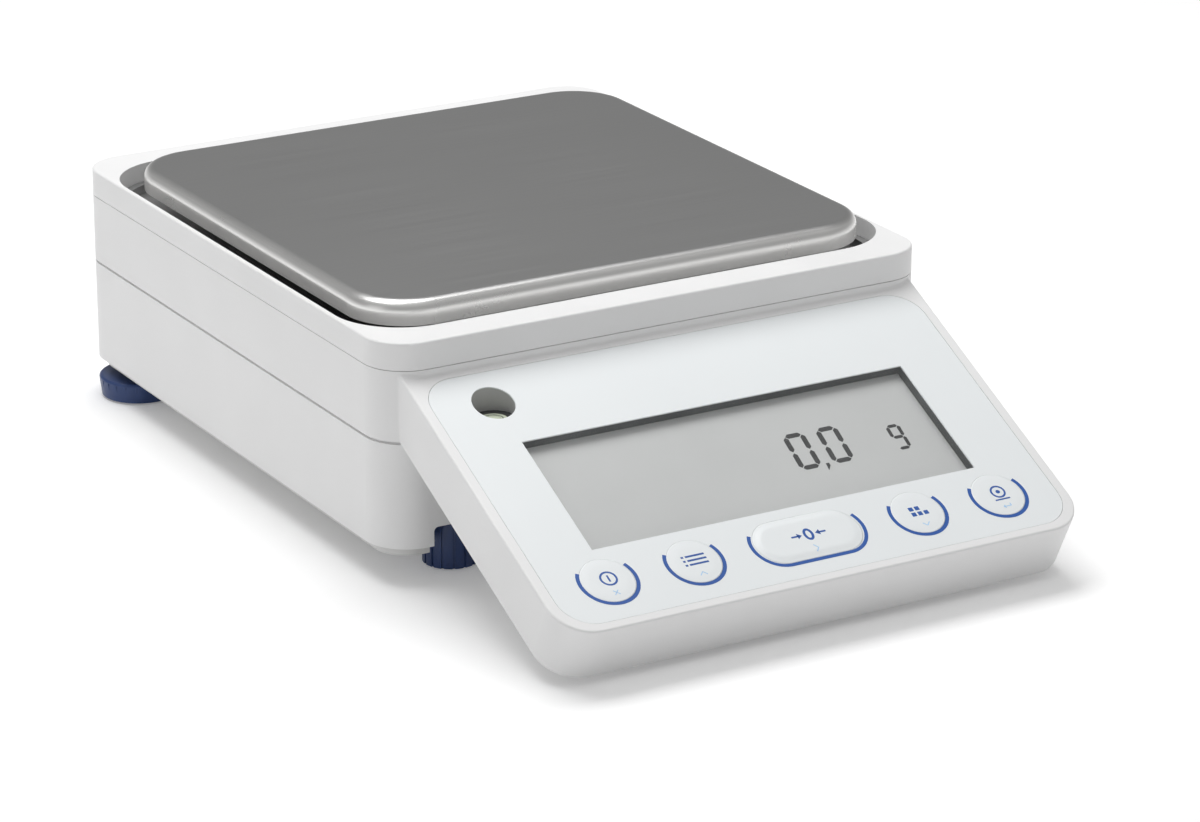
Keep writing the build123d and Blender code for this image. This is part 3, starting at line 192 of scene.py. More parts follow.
class EffectLibrary:
    """Builds each shared shader group once."""

    def __init__(self) -> None:
        """Starts with no group built."""
        self.groups: dict[Effect, Tree] = {}

    def get(self, effect: Effect) -> Tree:
        """Gives an effect's group, which is built at its first use.

        Args:
            effect: which one.

        Returns:
            The group.
        """
        if effect not in self.groups:
            makers = {
                Effect.GRAIN: self._grain,
                Effect.CLOUDS: self._clouds,
                Effect.BRUSHING: self._brushing,
                Effect.WEAR: self._wear,
            }
            self.groups[effect] = makers[effect]()
        return self.groups[effect]

    @staticmethod
    def _start(effect: Effect, inputs: dict, outputs: dict) -> tuple[Graph, Node, Node]:
        """Opens a group with named sockets.

        Args:
            effect: which group it is.
            inputs: socket name, with its default value, a number or a colour.
            outputs: socket name, with its socket type.

        Returns:
            The group's graph, its input node and its output node.
        """
        tree = bpy.data.node_groups.new(effect.value, "ShaderNodeTree")
        for name, value in inputs.items():
            kind = "NodeSocketFloat" if isinstance(value, float) else "NodeSocketColor"
            tree.interface.new_socket(name, in_out="INPUT", socket_type=kind).default_value = value
        for name, kind in outputs.items():
            tree.interface.new_socket(name, in_out="OUTPUT", socket_type=kind)
        graph = Graph(tree)
        return graph, graph.add("NodeGroupInput"), graph.add("NodeGroupOutput")

    def _grain(self) -> Tree:
        """Fine noise as a height, and a slower noise as a roughness between two limits.

        Returns:
            The group, with a height and a roughness.
        """
        graph, given, made = self._start(
            Effect.GRAIN,
            {"Scale": 1200.0, "Smooth": 0.4, "Rough": 0.5},
            {"Height": "NodeSocketFloat", "Roughness": "NodeSocketFloat"},
        )
        fine = graph.noise(given.outputs["Scale"], 3.0)
        slow = graph.noise(SLOW_SCALE, 4.0)
        rough = graph.spread(slow, given.outputs["Smooth"], given.outputs["Rough"])
        graph.tree.links.new(fine, made.inputs["Height"])
        graph.tree.links.new(rough, made.inputs["Roughness"])
        return graph.tree

    def _clouds(self) -> Tree:
        """Slow noise that drifts between two close colours.

        Returns:
            The group, with a colour and a mask.
        """
        graph, given, made = self._start(
            Effect.CLOUDS,
            {"Scale": 12.0, "Colour": rgba(MID_GREY), "Second colour": rgba(MID_GREY)},
            {"Colour": "NodeSocketColor", "Mask": "NodeSocketFloat"},
        )
        mask = graph.spread(graph.noise(given.outputs["Scale"], 5.0), 0.0, 1.0)
        colour = graph.blend(mask, given.outputs["Colour"], given.outputs["Second colour"])
        graph.tree.links.new(colour, made.inputs["Colour"])
        graph.tree.links.new(mask, made.inputs["Mask"])
        return graph.tree

    def _brushing(self) -> Tree:
        """Noise drawn out along X into fine lines, as a height and a mask.

        Returns:
            The group, with a height and a mask.
        """
        graph, given, made = self._start(
            Effect.BRUSHING,
            {"Across": 1600.0, "Along": 12.0},
            {"Height": "NodeSocketFloat", "Mask": "NodeSocketFloat"},
        )
        along, across = given.outputs["Along"], given.outputs["Across"]
        stretch = graph.add("ShaderNodeCombineXYZ", {"X": along, "Y": across, "Z": across})
        factors = {0: graph.place(), 1: stretch.outputs[0]}
        drawn = graph.add("ShaderNodeVectorMath", factors, operation="MULTIPLY")
        inputs = {"Vector": drawn.outputs[0], "Scale": 1.0, "Detail": 3.0}
        lines = graph.add("ShaderNodeTexNoise", inputs)
        graph.tree.links.new(lines.outputs[0], made.inputs["Height"])
        graph.tree.links.new(graph.spread(lines.outputs[0], 0.0, 1.0), made.inputs["Mask"])
        return graph.tree

    def _wear(self) -> Tree:
        """Mask of sharp edges, where the rounded normal leaves the true one, broken by noise.

        Returns:
            The group, with a mask.
        """
        graph, given, made = self._start(
            Effect.WEAR,
            {"Radius": 0.0005, "Amount": 0.5},
            {"Mask": "NodeSocketFloat"},
        )
        bevel = graph.add("ShaderNodeBevel", {"Radius": given.outputs["Radius"]}, samples=4)
        true = graph.add("ShaderNodeNewGeometry").outputs["Normal"]
        normals = {0: bevel.outputs[0], 1: true}
        dot = graph.add("ShaderNodeVectorMath", normals, operation="DOT_PRODUCT").outputs["Value"]
        edge = graph.add("ShaderNodeMapRange", {0: dot, 1: FLAT_DOT, 2: SHARP_DOT, 3: 0.0, 4: 1.0})
        broken = graph.math("MULTIPLY", edge.outputs[0], graph.noise(WEAR_SCALE, 4.0))
        scaled = graph.math("MULTIPLY", broken, given.outputs["Amount"])
        graph.tree.links.new(scaled, made.inputs["Mask"])
        return graph.tree


@dataclass(frozen=True)
class Finish:
    """A plastic, painted, cast or printed surface: slow clouding, fine grain and worn edges."""

    name: str
    colour: Colour
    drift: float = 0.03
    cloud_scale: float = 14.0
    smooth: float = 0.38
    rough: float = 0.5
    grain_scale: float = 1400.0
    grain_depth: float = 0.00002
    metallic: float = 0.0
    coat: float = 0.0
    wear: float = 0.0
    wear_colour: Colour = MID_GREY
    wear_radius: float = 0.0004

    def material(self, library: EffectLibrary) -> Material:
        """Builds the material.

        Args:
            library: where the shared groups come from.

        Returns:
            The finished material.
        """
        made = bpy.data.materials.new(self.name)
        made.use_nodes = True
        graph = Graph(made.node_tree)
        made.node_tree.nodes.clear()
        inputs = {"Metallic": self.metallic, "Coat Weight": self.coat}
        shader = graph.add("ShaderNodeBsdfPrincipled", inputs)
        graph.add("ShaderNodeOutputMaterial", {"Surface": shader.outputs[0]})
        graph.tree.links.new(self.paint(graph, library), shader.inputs["Base Color"])
        height, roughness = self.relief(graph, library)
        graph.tree.links.new(roughness, shader.inputs["Roughness"])
        bump = graph.add("ShaderNodeBump", {"Height": height, "Distance": self.grain_depth})
        graph.tree.links.new(bump.outputs[0], shader.inputs["Normal"])
        self.extras(graph, shader)
        return made

    def paint(self, graph: Graph, library: EffectLibrary) -> Socket:
        """Works out the colour: the base one clouded by the drift, and lighter on worn edges.

        Args:
            graph: the material's nodes.
            library: the shared groups.

        Returns:
            The colour's socket.
        """
        values = {
            "Scale": self.cloud_scale,
            "Colour": rgba(self.colour, 1 - self.drift),
            "Second colour": rgba(self.colour, 1 + self.drift),
        }
        colour = graph.group(library.get(Effect.CLOUDS), values).outputs["Colour"]
        if self.wear:
            values = {"Radius": self.wear_radius, "Amount": self.wear}
            wear = graph.group(library.get(Effect.WEAR), values).outputs["Mask"]
            colour = graph.blend(wear, colour, rgba(self.wear_colour))
        return colour

    def relief(self, graph: Graph, library: EffectLibrary) -> tuple[Socket, Socket]:
        """Works out the grain.

        Args:
            graph: the material's nodes.
            library: the shared groups.

        Returns:
            The sockets of the height for the bump and of the roughness.
        """
        values = {"Scale": self.grain_scale, "Smooth": self.smooth, "Rough": self.rough}
        grain = graph.group(library.get(Effect.GRAIN), values)
        return grain.outputs["Height"], grain.outputs["Roughness"]

    def extras(self, graph: Graph, shader: Node) -> None:
        """Adds what only one kind of finish has. The plain one adds nothing."""


@dataclass(frozen=True)
class BrushedMetal(Finish):
    """Metal drawn along X into fine lines."""

    lines_across: float = 1600.0
    lines_along: float = 12.0

    def relief(self, graph: Graph, library: EffectLibrary) -> tuple[Socket, Socket]:
        """Works out the drawn lines.

        Args:
            graph: the material's nodes.
            library: the shared groups.

        Returns:
            The sockets of the lines' height and of a roughness that follows them.
        """
        values = {"Across": self.lines_across, "Along": self.lines_along}
        lines = graph.group(library.get(Effect.BRUSHING), values)
        limits = {0: lines.outputs["Mask"], 3: self.smooth, 4: self.rough}
        return lines.outputs["Height"], graph.add("ShaderNodeMapRange", limits).outputs[0]


@dataclass(frozen=True)
class DrawnPan(BrushedMetal):
    """The pan: ground top, and a polished shoulder and skirt below the level of the top. The
    shoulder and skirt are also painted much lighter than the top, as a painted highlight.
    """

    top_height: float = 0.0932
    shoulder_depth: float = 0.0012
    shoulder_smooth: float = 0.26
    shoulder_rough: float = 0.31
    # Painted highlight: the shoulder and skirt's colour is far lighter than the top's steel, to
    # stand in for the lamp's reflection along the edge.
    shoulder_highlight_colour: Colour = (0.9, 0.895, 0.88)

    def _on_top(self, graph: Graph) -> Socket:
        """Tells the flat top from the shoulder by height.

        Args:
            graph: the material's nodes.

        Returns:
            A mask that is 1 on the top and 0 below the start of the shoulder.
        """
        height = graph.add("ShaderNodeSeparateXYZ", {0: graph.place()}).outputs["Z"]
        limits = {0: height, 1: self.top_height - self.shoulder_depth, 2: self.top_height}
        return graph.add("ShaderNodeMapRange", limits).outputs[0]

    def paint(self, graph: Graph, library: EffectLibrary) -> Socket:
        """Returns the ground top's colour, and the much lighter colour of the shoulder and skirt,
        which is a painted highlight.
        """
        ground = super().paint(graph, library)
        # Below the top, the steel takes the painted highlight colour. Only the lower roughness
        # there is the real polish.
        return graph.blend(self._on_top(graph), rgba(self.shoulder_highlight_colour), ground)

    def relief(self, graph: Graph, library: EffectLibrary) -> tuple[Socket, Socket]:
        """Works out the drawn lines, with a roughness that falls on the polished edge.

        Args:
            graph: the material's nodes.
            library: the shared groups.

        Returns:
            The sockets of the height and of the roughness.
        """
        height, ground = super().relief(graph, library)
        values = {"Smooth": self.shoulder_smooth, "Rough": self.shoulder_rough}
        polished = graph.group(library.get(Effect.GRAIN), values).outputs["Roughness"]
        limits = {0: self._on_top(graph), 3: polished, 4: ground}
        return height, graph.add("ShaderNodeMapRange", limits).outputs[0]


@dataclass(frozen=True)
class ClearPlastic(Finish):
    """A clear sheet: mostly see-through, with faint smudges that show a little more."""

    haze: Pair = (0.02, 0.035)

    def extras(self, graph: Graph, shader: Node) -> None:
        """Links the see-through amount, which drifts with slow noise."""
        alpha = graph.spread(graph.noise(SMUDGE_SCALE, 3.0), *self.haze)
        graph.tree.links.new(alpha, shader.inputs["Alpha"])


@dataclass(frozen=True)
class Vial(Finish):
    """The level's vial: tinted liquid up to a radius about its axis, and a black rim outside."""

    axis: Pair = (0.0, 0.0)
    liquid_radius: float = 4.6 * MM
    rim_blur: float = 0.1 * MM
    rim_colour: Colour = (0.02, 0.02, 0.021)

    def paint(self, graph: Graph, library: EffectLibrary) -> Socket:
        """Works out the liquid's clouded colour, and the rim's colour outside it.

        Args:
            graph: the material's nodes.
            library: the shared groups.

        Returns:
            The colour's socket.
        """
        factors = {0: graph.place(), 1: (1.0, 1.0, 0.0)}
        flat = graph.add("ShaderNodeVectorMath", factors, operation="MULTIPLY").outputs[0]
        ends = {0: flat, 1: (*self.axis, 0.0)}
        span = graph.add("ShaderNodeVectorMath", ends, operation="DISTANCE").outputs["Value"]
        edge = {0: span, 1: self.liquid_radius, 2: self.liquid_radius + self.rim_blur}
        rim = graph.add("ShaderNodeMapRange", edge).outputs[0]
        return graph.blend(rim, super().paint(graph, library), rgba(self.rim_colour))


# Finishes by the record's material slots. The last four belong to the pan, the prints on the
# keys and the display's segments.
FINISHES: dict[str, Finish] = {
    "white_housing": Finish(
        "White moulded plastic", (0.885, 0.885, 0.885), drift=0.012, grain_scale=1900.0,
        wear=0.25, wear_colour=(0.97, 0.97, 0.97),
    ),
    "pan_steel": BrushedMetal(
        "Ground steel sheet", (0.5, 0.5, 0.5), drift=0.03, smooth=0.3, rough=0.42, metallic=1.0,
        grain_depth=0.00001,
    ),
    "cast_aluminium": Finish(
        "Cast aluminium", (0.6, 0.6, 0.6), drift=0.07, smooth=0.42, rough=0.62, metallic=0.9,
        grain_scale=700.0, grain_depth=0.00008, wear=0.6, wear_colour=(0.85, 0.85, 0.86),
    ),
    "grey_paint": Finish(
        "Light grey paint", (0.72, 0.72, 0.71), drift=0.03, smooth=0.45, rough=0.6,
        grain_scale=900.0, grain_depth=0.00006, wear=0.4, wear_colour=(0.85, 0.85, 0.85),
    ),
    "cell_aluminium": BrushedMetal(
        "Milled aluminium", (0.75, 0.76, 0.77), smooth=0.22, rough=0.36, metallic=1.0,
        grain_depth=0.00001, lines_across=900.0,
    ),
    "foil": Finish(
        "Matt control film", (0.885, 0.915, 0.925), drift=0.008, smooth=0.34, rough=0.42,
        grain_scale=2600.0, grain_depth=0.000008,
    ),
    "clear_window": ClearPlastic(
        "Clear window", (0.9, 0.93, 0.93), smooth=0.12, rough=0.2, grain_depth=0.000002,
    ),
    "lcd": Finish(
        "Matt polariser", (0.59, 0.6, 0.595), drift=0.02, cloud_scale=26.0, smooth=0.3,
        rough=0.42, grain_scale=2400.0, grain_depth=0.000006,
    ),
    "white_reflector": Finish("Diffusing white", (0.9, 0.9, 0.88), drift=0.02),
    "black_plastic": Finish(
        "Black plastic", (0.045, 0.05, 0.05), drift=0.1, smooth=0.38, rough=0.52, wear=0.3,
        wear_colour=(0.2, 0.2, 0.2),
    ),
    "grey_plastic": Finish(
        "Grey plastic", (0.56, 0.56, 0.555), drift=0.05, smooth=0.4, rough=0.55,
    ),
    "vial": Vial(
        "Vial liquid", (0.66, 0.72, 0.56), drift=0.04, smooth=0.05, rough=0.09,
        grain_depth=0.000001, coat=0.6,
    ),
    "circuit_film": Finish(
        "Printed circuit film", (0.7, 0.74, 0.66), drift=0.05, smooth=0.3, rough=0.45,
    ),
    "board": Finish(
        "Green solder resist", (0.03, 0.2, 0.09), drift=0.12, cloud_scale=80.0, smooth=0.2,
        rough=0.34, grain_scale=500.0, grain_depth=0.00004, coat=0.3,
    ),
    "gauge_film": Finish("Gauge film", (0.5, 0.3, 0.1), drift=0.1, smooth=0.25, rough=0.4),
    "bright_steel": BrushedMetal(
        "Plated steel", (0.62, 0.62, 0.63), smooth=0.2, rough=0.34, metallic=1.0,
        grain_depth=0.000006, wear=0.3, wear_colour=(0.85, 0.85, 0.86),
    ),
    "brass": BrushedMetal(
        "Turned brass", (0.72, 0.55, 0.25), smooth=0.22, rough=0.36, metallic=1.0,
        grain_depth=0.000006,
    ),
    "blue_plastic": Finish(
        "Blue plastic", (0.016, 0.045, 0.16), drift=0.09, smooth=0.3, rough=0.44,
        grain_scale=1500.0, grain_depth=0.00002, wear=0.5, wear_colour=(0.07, 0.13, 0.32),
    ),
    "black_rubber": Finish(
        "Black rubber", (0.025, 0.025, 0.026), drift=0.15, smooth=0.6, rough=0.8,
        grain_scale=900.0, grain_depth=0.00005,
    ),
    "pan": DrawnPan(
        "Pan steel", (0.34, 0.34, 0.338), drift=0.02, cloud_scale=9.0, smooth=0.34, rough=0.4,
        metallic=1.0, grain_depth=0.000006,
    ),
    "deep_blue": Finish(
        "Deep blue print", (0.018, 0.1, 0.4), drift=0.05, smooth=0.4, rough=0.5,
        grain_depth=0.000004,
    ),
    "pale_blue": Finish(
        "Pale blue print", (0.42, 0.67, 0.95), drift=0.03, smooth=0.4, rough=0.5,
        grain_depth=0.000004,
    ),
    "segment": Finish(
        "Display segment", (0.01, 0.01, 0.011), drift=0.06, smooth=0.35, rough=0.45,
        grain_depth=0.000004,
    ),
}


@dataclass
class Shape:
    """A closed mesh in the making: points and faces."""

    points: np.ndarray
    faces: Faces

    @staticmethod
    def join(shapes: list["Shape"]) -> "Shape":
        """Puts shapes together, each still closed by itself.

        Args:
            shapes: the parts.

        Returns:
            One shape that holds them all.
        """
        faces, start = [], 0
        for shape in shapes:
            faces += [tuple(i + start for i in face) for face in shape.faces]
            start += len(shape.points)
        return Shape(np.concatenate([shape.points for shape in shapes]), faces)


def quad_faces(steps: int, rings: int, around: int) -> Faces:
    """Quads of a grid that closes round its rings: point j of ring i is number i · around + j.

    Args:
        steps: how many rings have quads to the next one.
        rings: how many rings there are before the first comes again.
        around: points on each ring.

    Returns:
        The quads, ring by ring.
    """
    i, j = np.meshgrid(np.arange(steps), np.arange(around), indexing="ij")
    here, ahead, on = i * around, (i + 1) % rings * around, (j + 1) % around
    quads = np.stack([here + j, here + on, ahead + on, ahead + j], axis=-1)
    return [tuple(q) for q in quads.reshape(-1, 4).tolist()]


def turned_faces(rings: int, around: int) -> Faces:
    """Faces of a ring-shaped surface, which closes in both directions."""
    return quad_faces(rings, rings, around)


def capped_faces(rings: int, around: int, inward: bool = False) -> Faces:
    """Joins a tube's rings and closes its ends with a flat face each.

    Args:
        rings: how many rings the tube has.
        around: points on each.
        inward: whether the rings run the other way round, so that every face is turned over.

    Returns:
        The quads, then the first and the last ring's face.
    """
    first = tuple(range(around))[::-1]
    last = tuple(range((rings - 1) * around, rings * around))
    faces = quad_faces(rings - 1, rings, around) + [first, last]
    return [face[::-1] for face in faces] if inward else faces


def strip(path: np.ndarray, width: float, low: float, high: float, closed: bool = False) -> Shape:
    """A flat strip: a rectangle of width by (high - low), carried along a flat path.

    The corner points are path ± normal · width / 2 at the two heights, where the normal is the
    path's direction turned a quarter to the left.

    Args:
        path: points (n, 2) across and up the panel.
        width: the strip's width.
        low: height of its underside above the panel.
        high: height of its face.
        closed: whether the path comes back to its start.

    Returns:
        The strip in panel coordinates.
    """
    if closed:
        ahead = np.roll(path, -1, axis=0) - np.roll(path, 1, axis=0)
    else:
        ahead = np.gradient(path, axis=0)
    ahead = ahead / np.linalg.norm(ahead, axis=1, keepdims=True)
    side = np.stack([-ahead[:, 1], ahead[:, 0]], axis=1) * width / 2
    corners = []
    for edge, height in ((side, low), (side, high), (-side, high), (-side, low)):
        corners.append(np.column_stack([path + edge, np.full(len(path), height)]))
    points = np.stack(corners, axis=1).reshape(-1, 3)
    return Shape(points, turned_faces(len(path), 4) if closed else capped_faces(len(path), 4))


def plate(outline: np.ndarray, low: float, high: float) -> Shape:
    """A flat plate: a convex outline (n, 2), given anticlockwise, at two heights, with sides."""
    rings = [np.column_stack([outline, np.full(len(outline), h)]) for h in (low, high)]
    return Shape(np.concatenate(rings), capped_faces(2, len(outline)))


def arc(centre: Pair, radius: float, start: float, end: float, steps: int) -> np.ndarray:
    """Points centre + radius · (cos a, sin a), for angles a in degrees from start to end."""
    a = np.radians(np.linspace(start, end, steps))
    return np.asarray(centre) + radius * np.column_stack([np.cos(a), np.sin(a)])


def circle(centre: Pair, radius: float, steps: int = ROUND_STEPS) -> np.ndarray:
    """Points of a full circle, without its first one repeated."""
    return arc(centre, radius, 0.0, 360.0, steps + 1)[:-1]


@dataclass(frozen=True)
class Panel:
    """The console's sloping face, with points across it, up the slope and out of it, in metres."""

    front: Pair
    slope: float = math.radians(26.0)
    foil_front: float = 3.4 * MM
    foil_face: float = 0.05 * MM
    foil_thickness: float = 0.5 * MM

    @classmethod
    def from_foil(cls) -> "Panel":
        """Places the panel by the lowest corner of the control foil's box.

        Returns:
            The panel.
        """
        low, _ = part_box("control_foil")
        up, out = math.sin(cls.slope), math.cos(cls.slope)
        y = low.y - cls.foil_front * out - cls.foil_face * up
        z = low.z - cls.foil_front * up + (cls.foil_face + cls.foil_thickness) * out
        return cls(front=(y, z))

    def place(self, points: np.ndarray) -> np.ndarray:
        """Moves points to front + across · X + up · (0, cos, sin) + out · (0, -sin, cos).

        Args:
            points: across, up and out of the panel (n, 3).

        Returns:
            The points in the row frame.
        """
        sin, cos = math.sin(self.slope), math.cos(self.slope)
        x, up, out = points.T
        y = self.front[0] + up * cos - out * sin
        z = self.front[1] + up * sin + out * cos
        return np.column_stack([x, y, z])

    def lay(self, shape: Shape) -> Shape:
        """Returns a shape's copy in the row frame."""
        return Shape(self.place(shape.points), shape.faces)


def add_piece(
    name: str, shape: Shape, body: str, material: Material
) -> bpy.types.Object:
    """Makes a shape a piece of the object that rides on a body.

    Args:
        name: the piece's name.
        shape: points in the row frame, and faces.
        body: the CAD body it moves with.
        material: its finish.

    Returns:
        The new object.
    """
    mesh = bpy.data.meshes.new(name)
    mesh.from_pydata(shape.points.tolist(), [], shape.faces)
    mesh.materials.append(material)
    mesh.update()
    piece = bpy.data.objects.new(name, mesh)
    bpy.context.scene.collection.objects.link(piece)
    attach(piece, body)
    log.info("%s: %d points on %s", name, len(shape.points), body)
    return piece


def smooth_quads(piece: bpy.types.Object) -> None:
    """Shades a piece's quads smooth and leaves its end faces flat."""
    for polygon in piece.data.polygons:
        polygon.use_smooth = len(polygon.vertices) == 4


class Sign(Enum):
    """What is printed on a key. All are plain signs, without words."""

    POWER = "circle and bar"
    LIST = "three lines"
    ZERO = "arrows to a zero"
    COUNT = "squares in two rows"
    FEED = "dot in a circle over a line"


class Pointer(Enum):
    """The small pale sign below the main one."""

    CROSS = "cross"
    UP = "up"
    RIGHT = "right"
    DOWN = "down"
    RETURN = "return"


POINTER_PATHS: dict[Pointer, list[list[Pair]]] = {
    Pointer.CROSS: [[(-0.9, -0.9), (0.9, 0.9)], [(-0.9, 0.9), (0.9, -0.9)]],
    Pointer.UP: [[(-1.3, -0.7), (0.0, 0.7)], [(0.0, 0.7), (1.3, -0.7)]],
    Pointer.DOWN: [[(-1.3, 0.7), (0.0, -0.7)], [(0.0, -0.7), (1.3, 0.7)]],
    Pointer.RIGHT: [[(-0.6, 1.5), (0.6, 0.0)], [(0.6, 0.0), (-0.6, -1.5)]],
    Pointer.RETURN: [
        [(-1.3, 0.0), (1.6, 0.0)],
        [(1.6, -0.15), (1.6, 1.1)],
        [(-1.3, 0.0), (-0.6, 0.6)],
        [(-1.3, 0.0), (-0.6, -0.6)],
    ],
}


@dataclass(frozen=True)
class Printer:
    """Draws the keys' signs as flat shapes, with sizes in millimetres from the key's middle."""

    ink: float = 0.03
    stroke: float = 0.7
    thin_stroke: float = 0.32
    bar_stroke: float = 0.65
    base_stroke: float = 0.6
    sign_up: float = 2.0
    power_radius: float = 2.75
    power_bar: Pair = (0.6, 3.4)
    feed_up: float = 2.6
    feed_radius: float = 2.45
    feed_dot: float = 0.8
    feed_base: tuple[float, float, float] = (-2.9, 2.9, -0.9)
    row_heights: tuple[float, ...] = (0.2, 2.0, 3.8)
    row_ends: Pair = (-2.9, 4.2)
    row_mark: Pair = (-4.5, -3.6)
    row_stroke: float = 0.75
    zero_half: Pair = (1.35, 2.15)
    zero_stroke: float = 0.95
    arrow_reach: tuple[float, float, float] = (2.6, 3.6, 6.6)
    arrow_back: float = 4.3
    arrow_half: float = 1.2
    square_pitch: float = 2.4
    square_up: float = 0.7
    square_half: float = 0.85
    pointer_down: float = 4.6
    line_steps: int = 8
    dot_steps: int = 20

    def line(self, points: list[Pair], stroke: float) -> Shape:
        """Draws a straight or bent line, in short steps so that it can follow the pad.

        Args:
            points: the line's corners.
            stroke: its width.

        Returns:
            The line as a flat strip.
        """
        steps = [np.linspace(a, b, self.line_steps)[:-1] for a, b in zip(points[:-1], points[1:])]
        path = np.concatenate(steps + [np.array(points[-1:])])
        return strip(path * MM, stroke * MM, 0.0, self.ink * MM)

    def ring(self, path: np.ndarray, stroke: float) -> Shape:
        """A printed line that comes back to its start."""
        return strip(path * MM, stroke * MM, 0.0, self.ink * MM, True)

    def patch(self, outline: np.ndarray | list[Pair]) -> Shape:
        """A filled outline."""
        return plate(np.asarray(outline) * MM, 0.0, self.ink * MM)

    def power(self) -> list[Shape]:
        """Draws a circle round an upright bar.

        Returns:
            The circle and the bar.
        """
        low, high = self.power_bar
        around = self.ring(circle((0, self.sign_up), self.power_radius), self.stroke)
        return [around, self.line([(0, low), (0, high)], self.bar_stroke)]

    def feed(self) -> list[Shape]:
        """Draws a dot in a circle, over a line.

        Returns:
            The circle, the dot and the line.
        """
        left, right, level = self.feed_base
        around = self.ring(circle((0, self.feed_up), self.feed_radius), self.stroke)
        dot = self.patch(circle((0, self.feed_up), self.feed_dot, self.dot_steps))
        return [around, dot, self.line([(left, level), (right, level)], self.base_stroke)]

    def rows(self) -> list[Shape]:
        """Draws three lines, each after a short mark.

        Returns:
            Each line, followed by its mark.
        """
        shapes = []
        for y in self.row_heights:
            for start, end in (self.row_ends, self.row_mark):
                shapes.append(self.line([(start, y), (end, y)], self.row_stroke))
        return shapes

    def zero(self) -> list[Shape]:
        """Draws an upright oval, (a cos t, b sin t), with an arrow from each side.

        Returns:
            The oval, then each arrow's line and head.
        """
        oval = circle((0, 0), 1.0) * self.zero_half + [0, self.sign_up]
        shapes = [self.ring(oval, self.zero_stroke)]
        tip, start, end = self.arrow_reach
        for side in (-1, 1):
            y = self.sign_up
            shapes.append(self.line([(side * end, y), (side * start, y)], self.stroke))
            back, half = side * self.arrow_back, side * self.arrow_half
            shapes.append(self.patch([(side * tip, y), (back, y + half), (back, y - half)]))
        return shapes

    def squares(self) -> list[Shape]:
        """Draws three squares with two above them.

        Returns:
            The squares, the lower row first.
        """
        corners = np.array([(-1, -1), (1, -1), (1, 1), (-1, 1)]) * self.square_half
        shapes = []
        for column, row in ((-1, 0), (0, 0), (1, 0), (-1, 1), (0, 1)):
            middle = np.array([column, row]) * self.square_pitch + [0, self.square_up]
            shapes.append(self.patch(middle + corners))
        return shapes

    def sign(self, sign: Sign) -> list[Shape]:
        """Draws a main sign.

        Args:
            sign: which one.

        Returns:
            Its shapes.
        """
        makers = {
            Sign.POWER: self.power,
            Sign.LIST: self.rows,
            Sign.ZERO: self.zero,
            Sign.COUNT: self.squares,
            Sign.FEED: self.feed,
        }
        return makers[sign]()

    def pointer(self, pointer: Pointer) -> list[Shape]:
        """Draws a pale sign from thin straight lines.

        Args:
            pointer: which one.

        Returns:
            Its lines.
        """
        shapes = []
        for path in POINTER_PATHS[pointer]:
            lowered = [(x, y - self.pointer_down) for x, y in path]
            shapes.append(self.line(lowered, self.thin_stroke))
        return shapes


